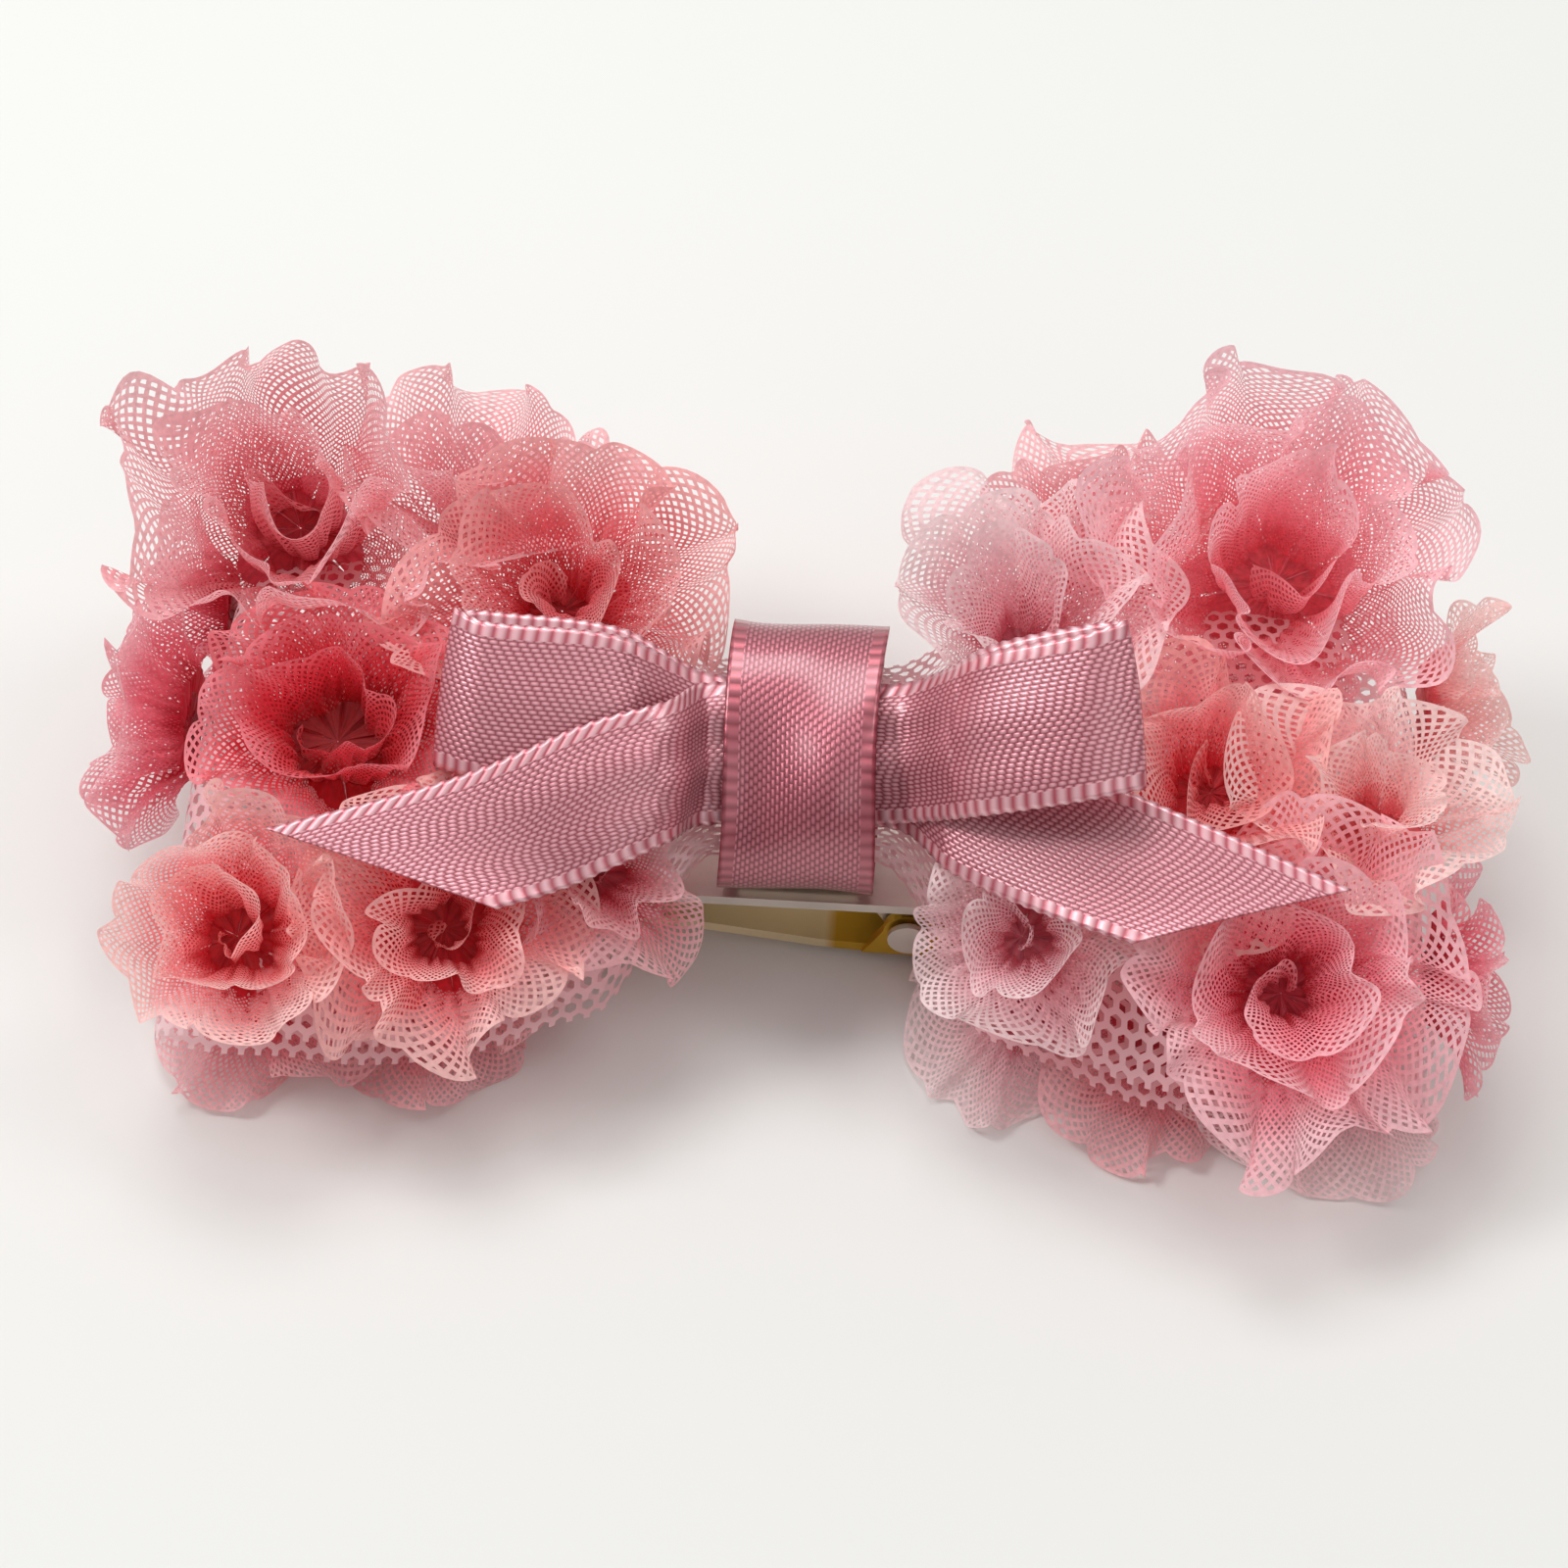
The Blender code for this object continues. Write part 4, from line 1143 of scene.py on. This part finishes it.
def pressUnder(points):
    s = pressing
    flat = points.reshape(-1, 3)
    side = np.sign(flat[:, 0])
    away = np.abs(flat[:, 0])
    near = away < s["wrapEdge"] + s["soft"]
    squeezed = s["wrapEdge"] + s["soft"] * np.exp((away - s["wrapEdge"] - s["soft"]) / s["soft"])
    flat[:, 0] = side * np.where(near, squeezed, away)
    local = flat - wrapMiddle * (0, 1, 1)
    up, out = local @ planeUp, local @ planeOut
    i = np.clip((flat[:, 0] + s["halfLength"]) / s["cell"] - 0.5, 0, underside.shape[0] - 1.001)
    j = np.clip((up + s["halfHeight"]) / s["cell"] - 0.5, 0, underside.shape[1] - 1.001)
    a, b = i.astype(int), j.astype(int)
    fi, fj = i - a, j - b
    top = (underside[a, b] * (1 - fi) + underside[a + 1, b] * fi) * (1 - fj)
    top = top + (underside[a, b + 1] * (1 - fi) + underside[a + 1, b + 1] * fi) * fj
    limit = top - s["clear"]
    start = limit - s["soft"]
    held = limit - s["soft"] * np.exp(-np.maximum(out - start, 0) / s["soft"])
    flat += planeOut * (np.where(out > start, held, out) - out)[:, None]
    return flat.reshape(points.shape)


flowerFront = Vector((0, -0.64, 0.77))  # the way that some flowers are turned
floorRest = {"low": 0.15, "soft": 0.65}  # millimetres
nodeHeights = {
    "left_back_corner": 8.8,
    "left_back_inner": 6.0,
    "left_middle_inner": 7.0,
    "left_front_corner": 7.0,
    "left_front_inner": 3.6,
    "right_back_corner": 9.2,
    "right_middle_inner": 6.0,
    "right_front_inner": 3.6,
}
usualHeight = 5.0


def makeRosette(name, spec, seed):
    node = "rosette_" + name
    centre = centreOf(node)
    across = (centre.y / mm - netShape["lobeCentreY"]) / float(netWidth(np.array(centre.x / mm)))
    outward = faceOf(node, min(max(across, -0.97), 0.97), centre.x / mm)
    points, uv, share, up, height, edgeRun = coilStrip(spec, seed)
    tint = colourStrip(spec, share, up, edgeRun, seed)
    solid = (up > 0.999) | (up < 0.02)
    rim = np.broadcast_to(solid.astype(float), tint.shape[:2]).copy()
    facing = outward.lerp(flowerFront, spec.get("face", 0)).normalized()
    base = centre / mm - facing * 0.5 * nodeHeights.get(name, usualHeight)
    turn = facing.to_track_quat("Z", "Y").to_matrix()
    spin = Matrix.Rotation(seed * 1.7, 3, "Z")
    world = points.reshape(-1, 3) @ np.array((turn @ spin).transposed()) + np.array(base)
    world = pressUnder(world.reshape(points.shape))
    # petals that would go under the floor flatten on it
    z, low, soft = world[..., 2], floorRest["low"], floorRest["soft"]
    settled = low + soft * np.exp((z - low - soft) / soft)
    world[..., 2] = np.where(z < low + soft, settled, z)
    sheet = gridSheet("petals_" + name, world * mm, uv, meshCloth, tint=tint, rim=rim)
    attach(sheet, "bow")
    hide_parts(node)
    return sheet


for number, (name, spec) in enumerate(rosettes.items()):
    makeRosette(name, spec, number * 7 + 3)
print("rosettes coiled and sewn on")
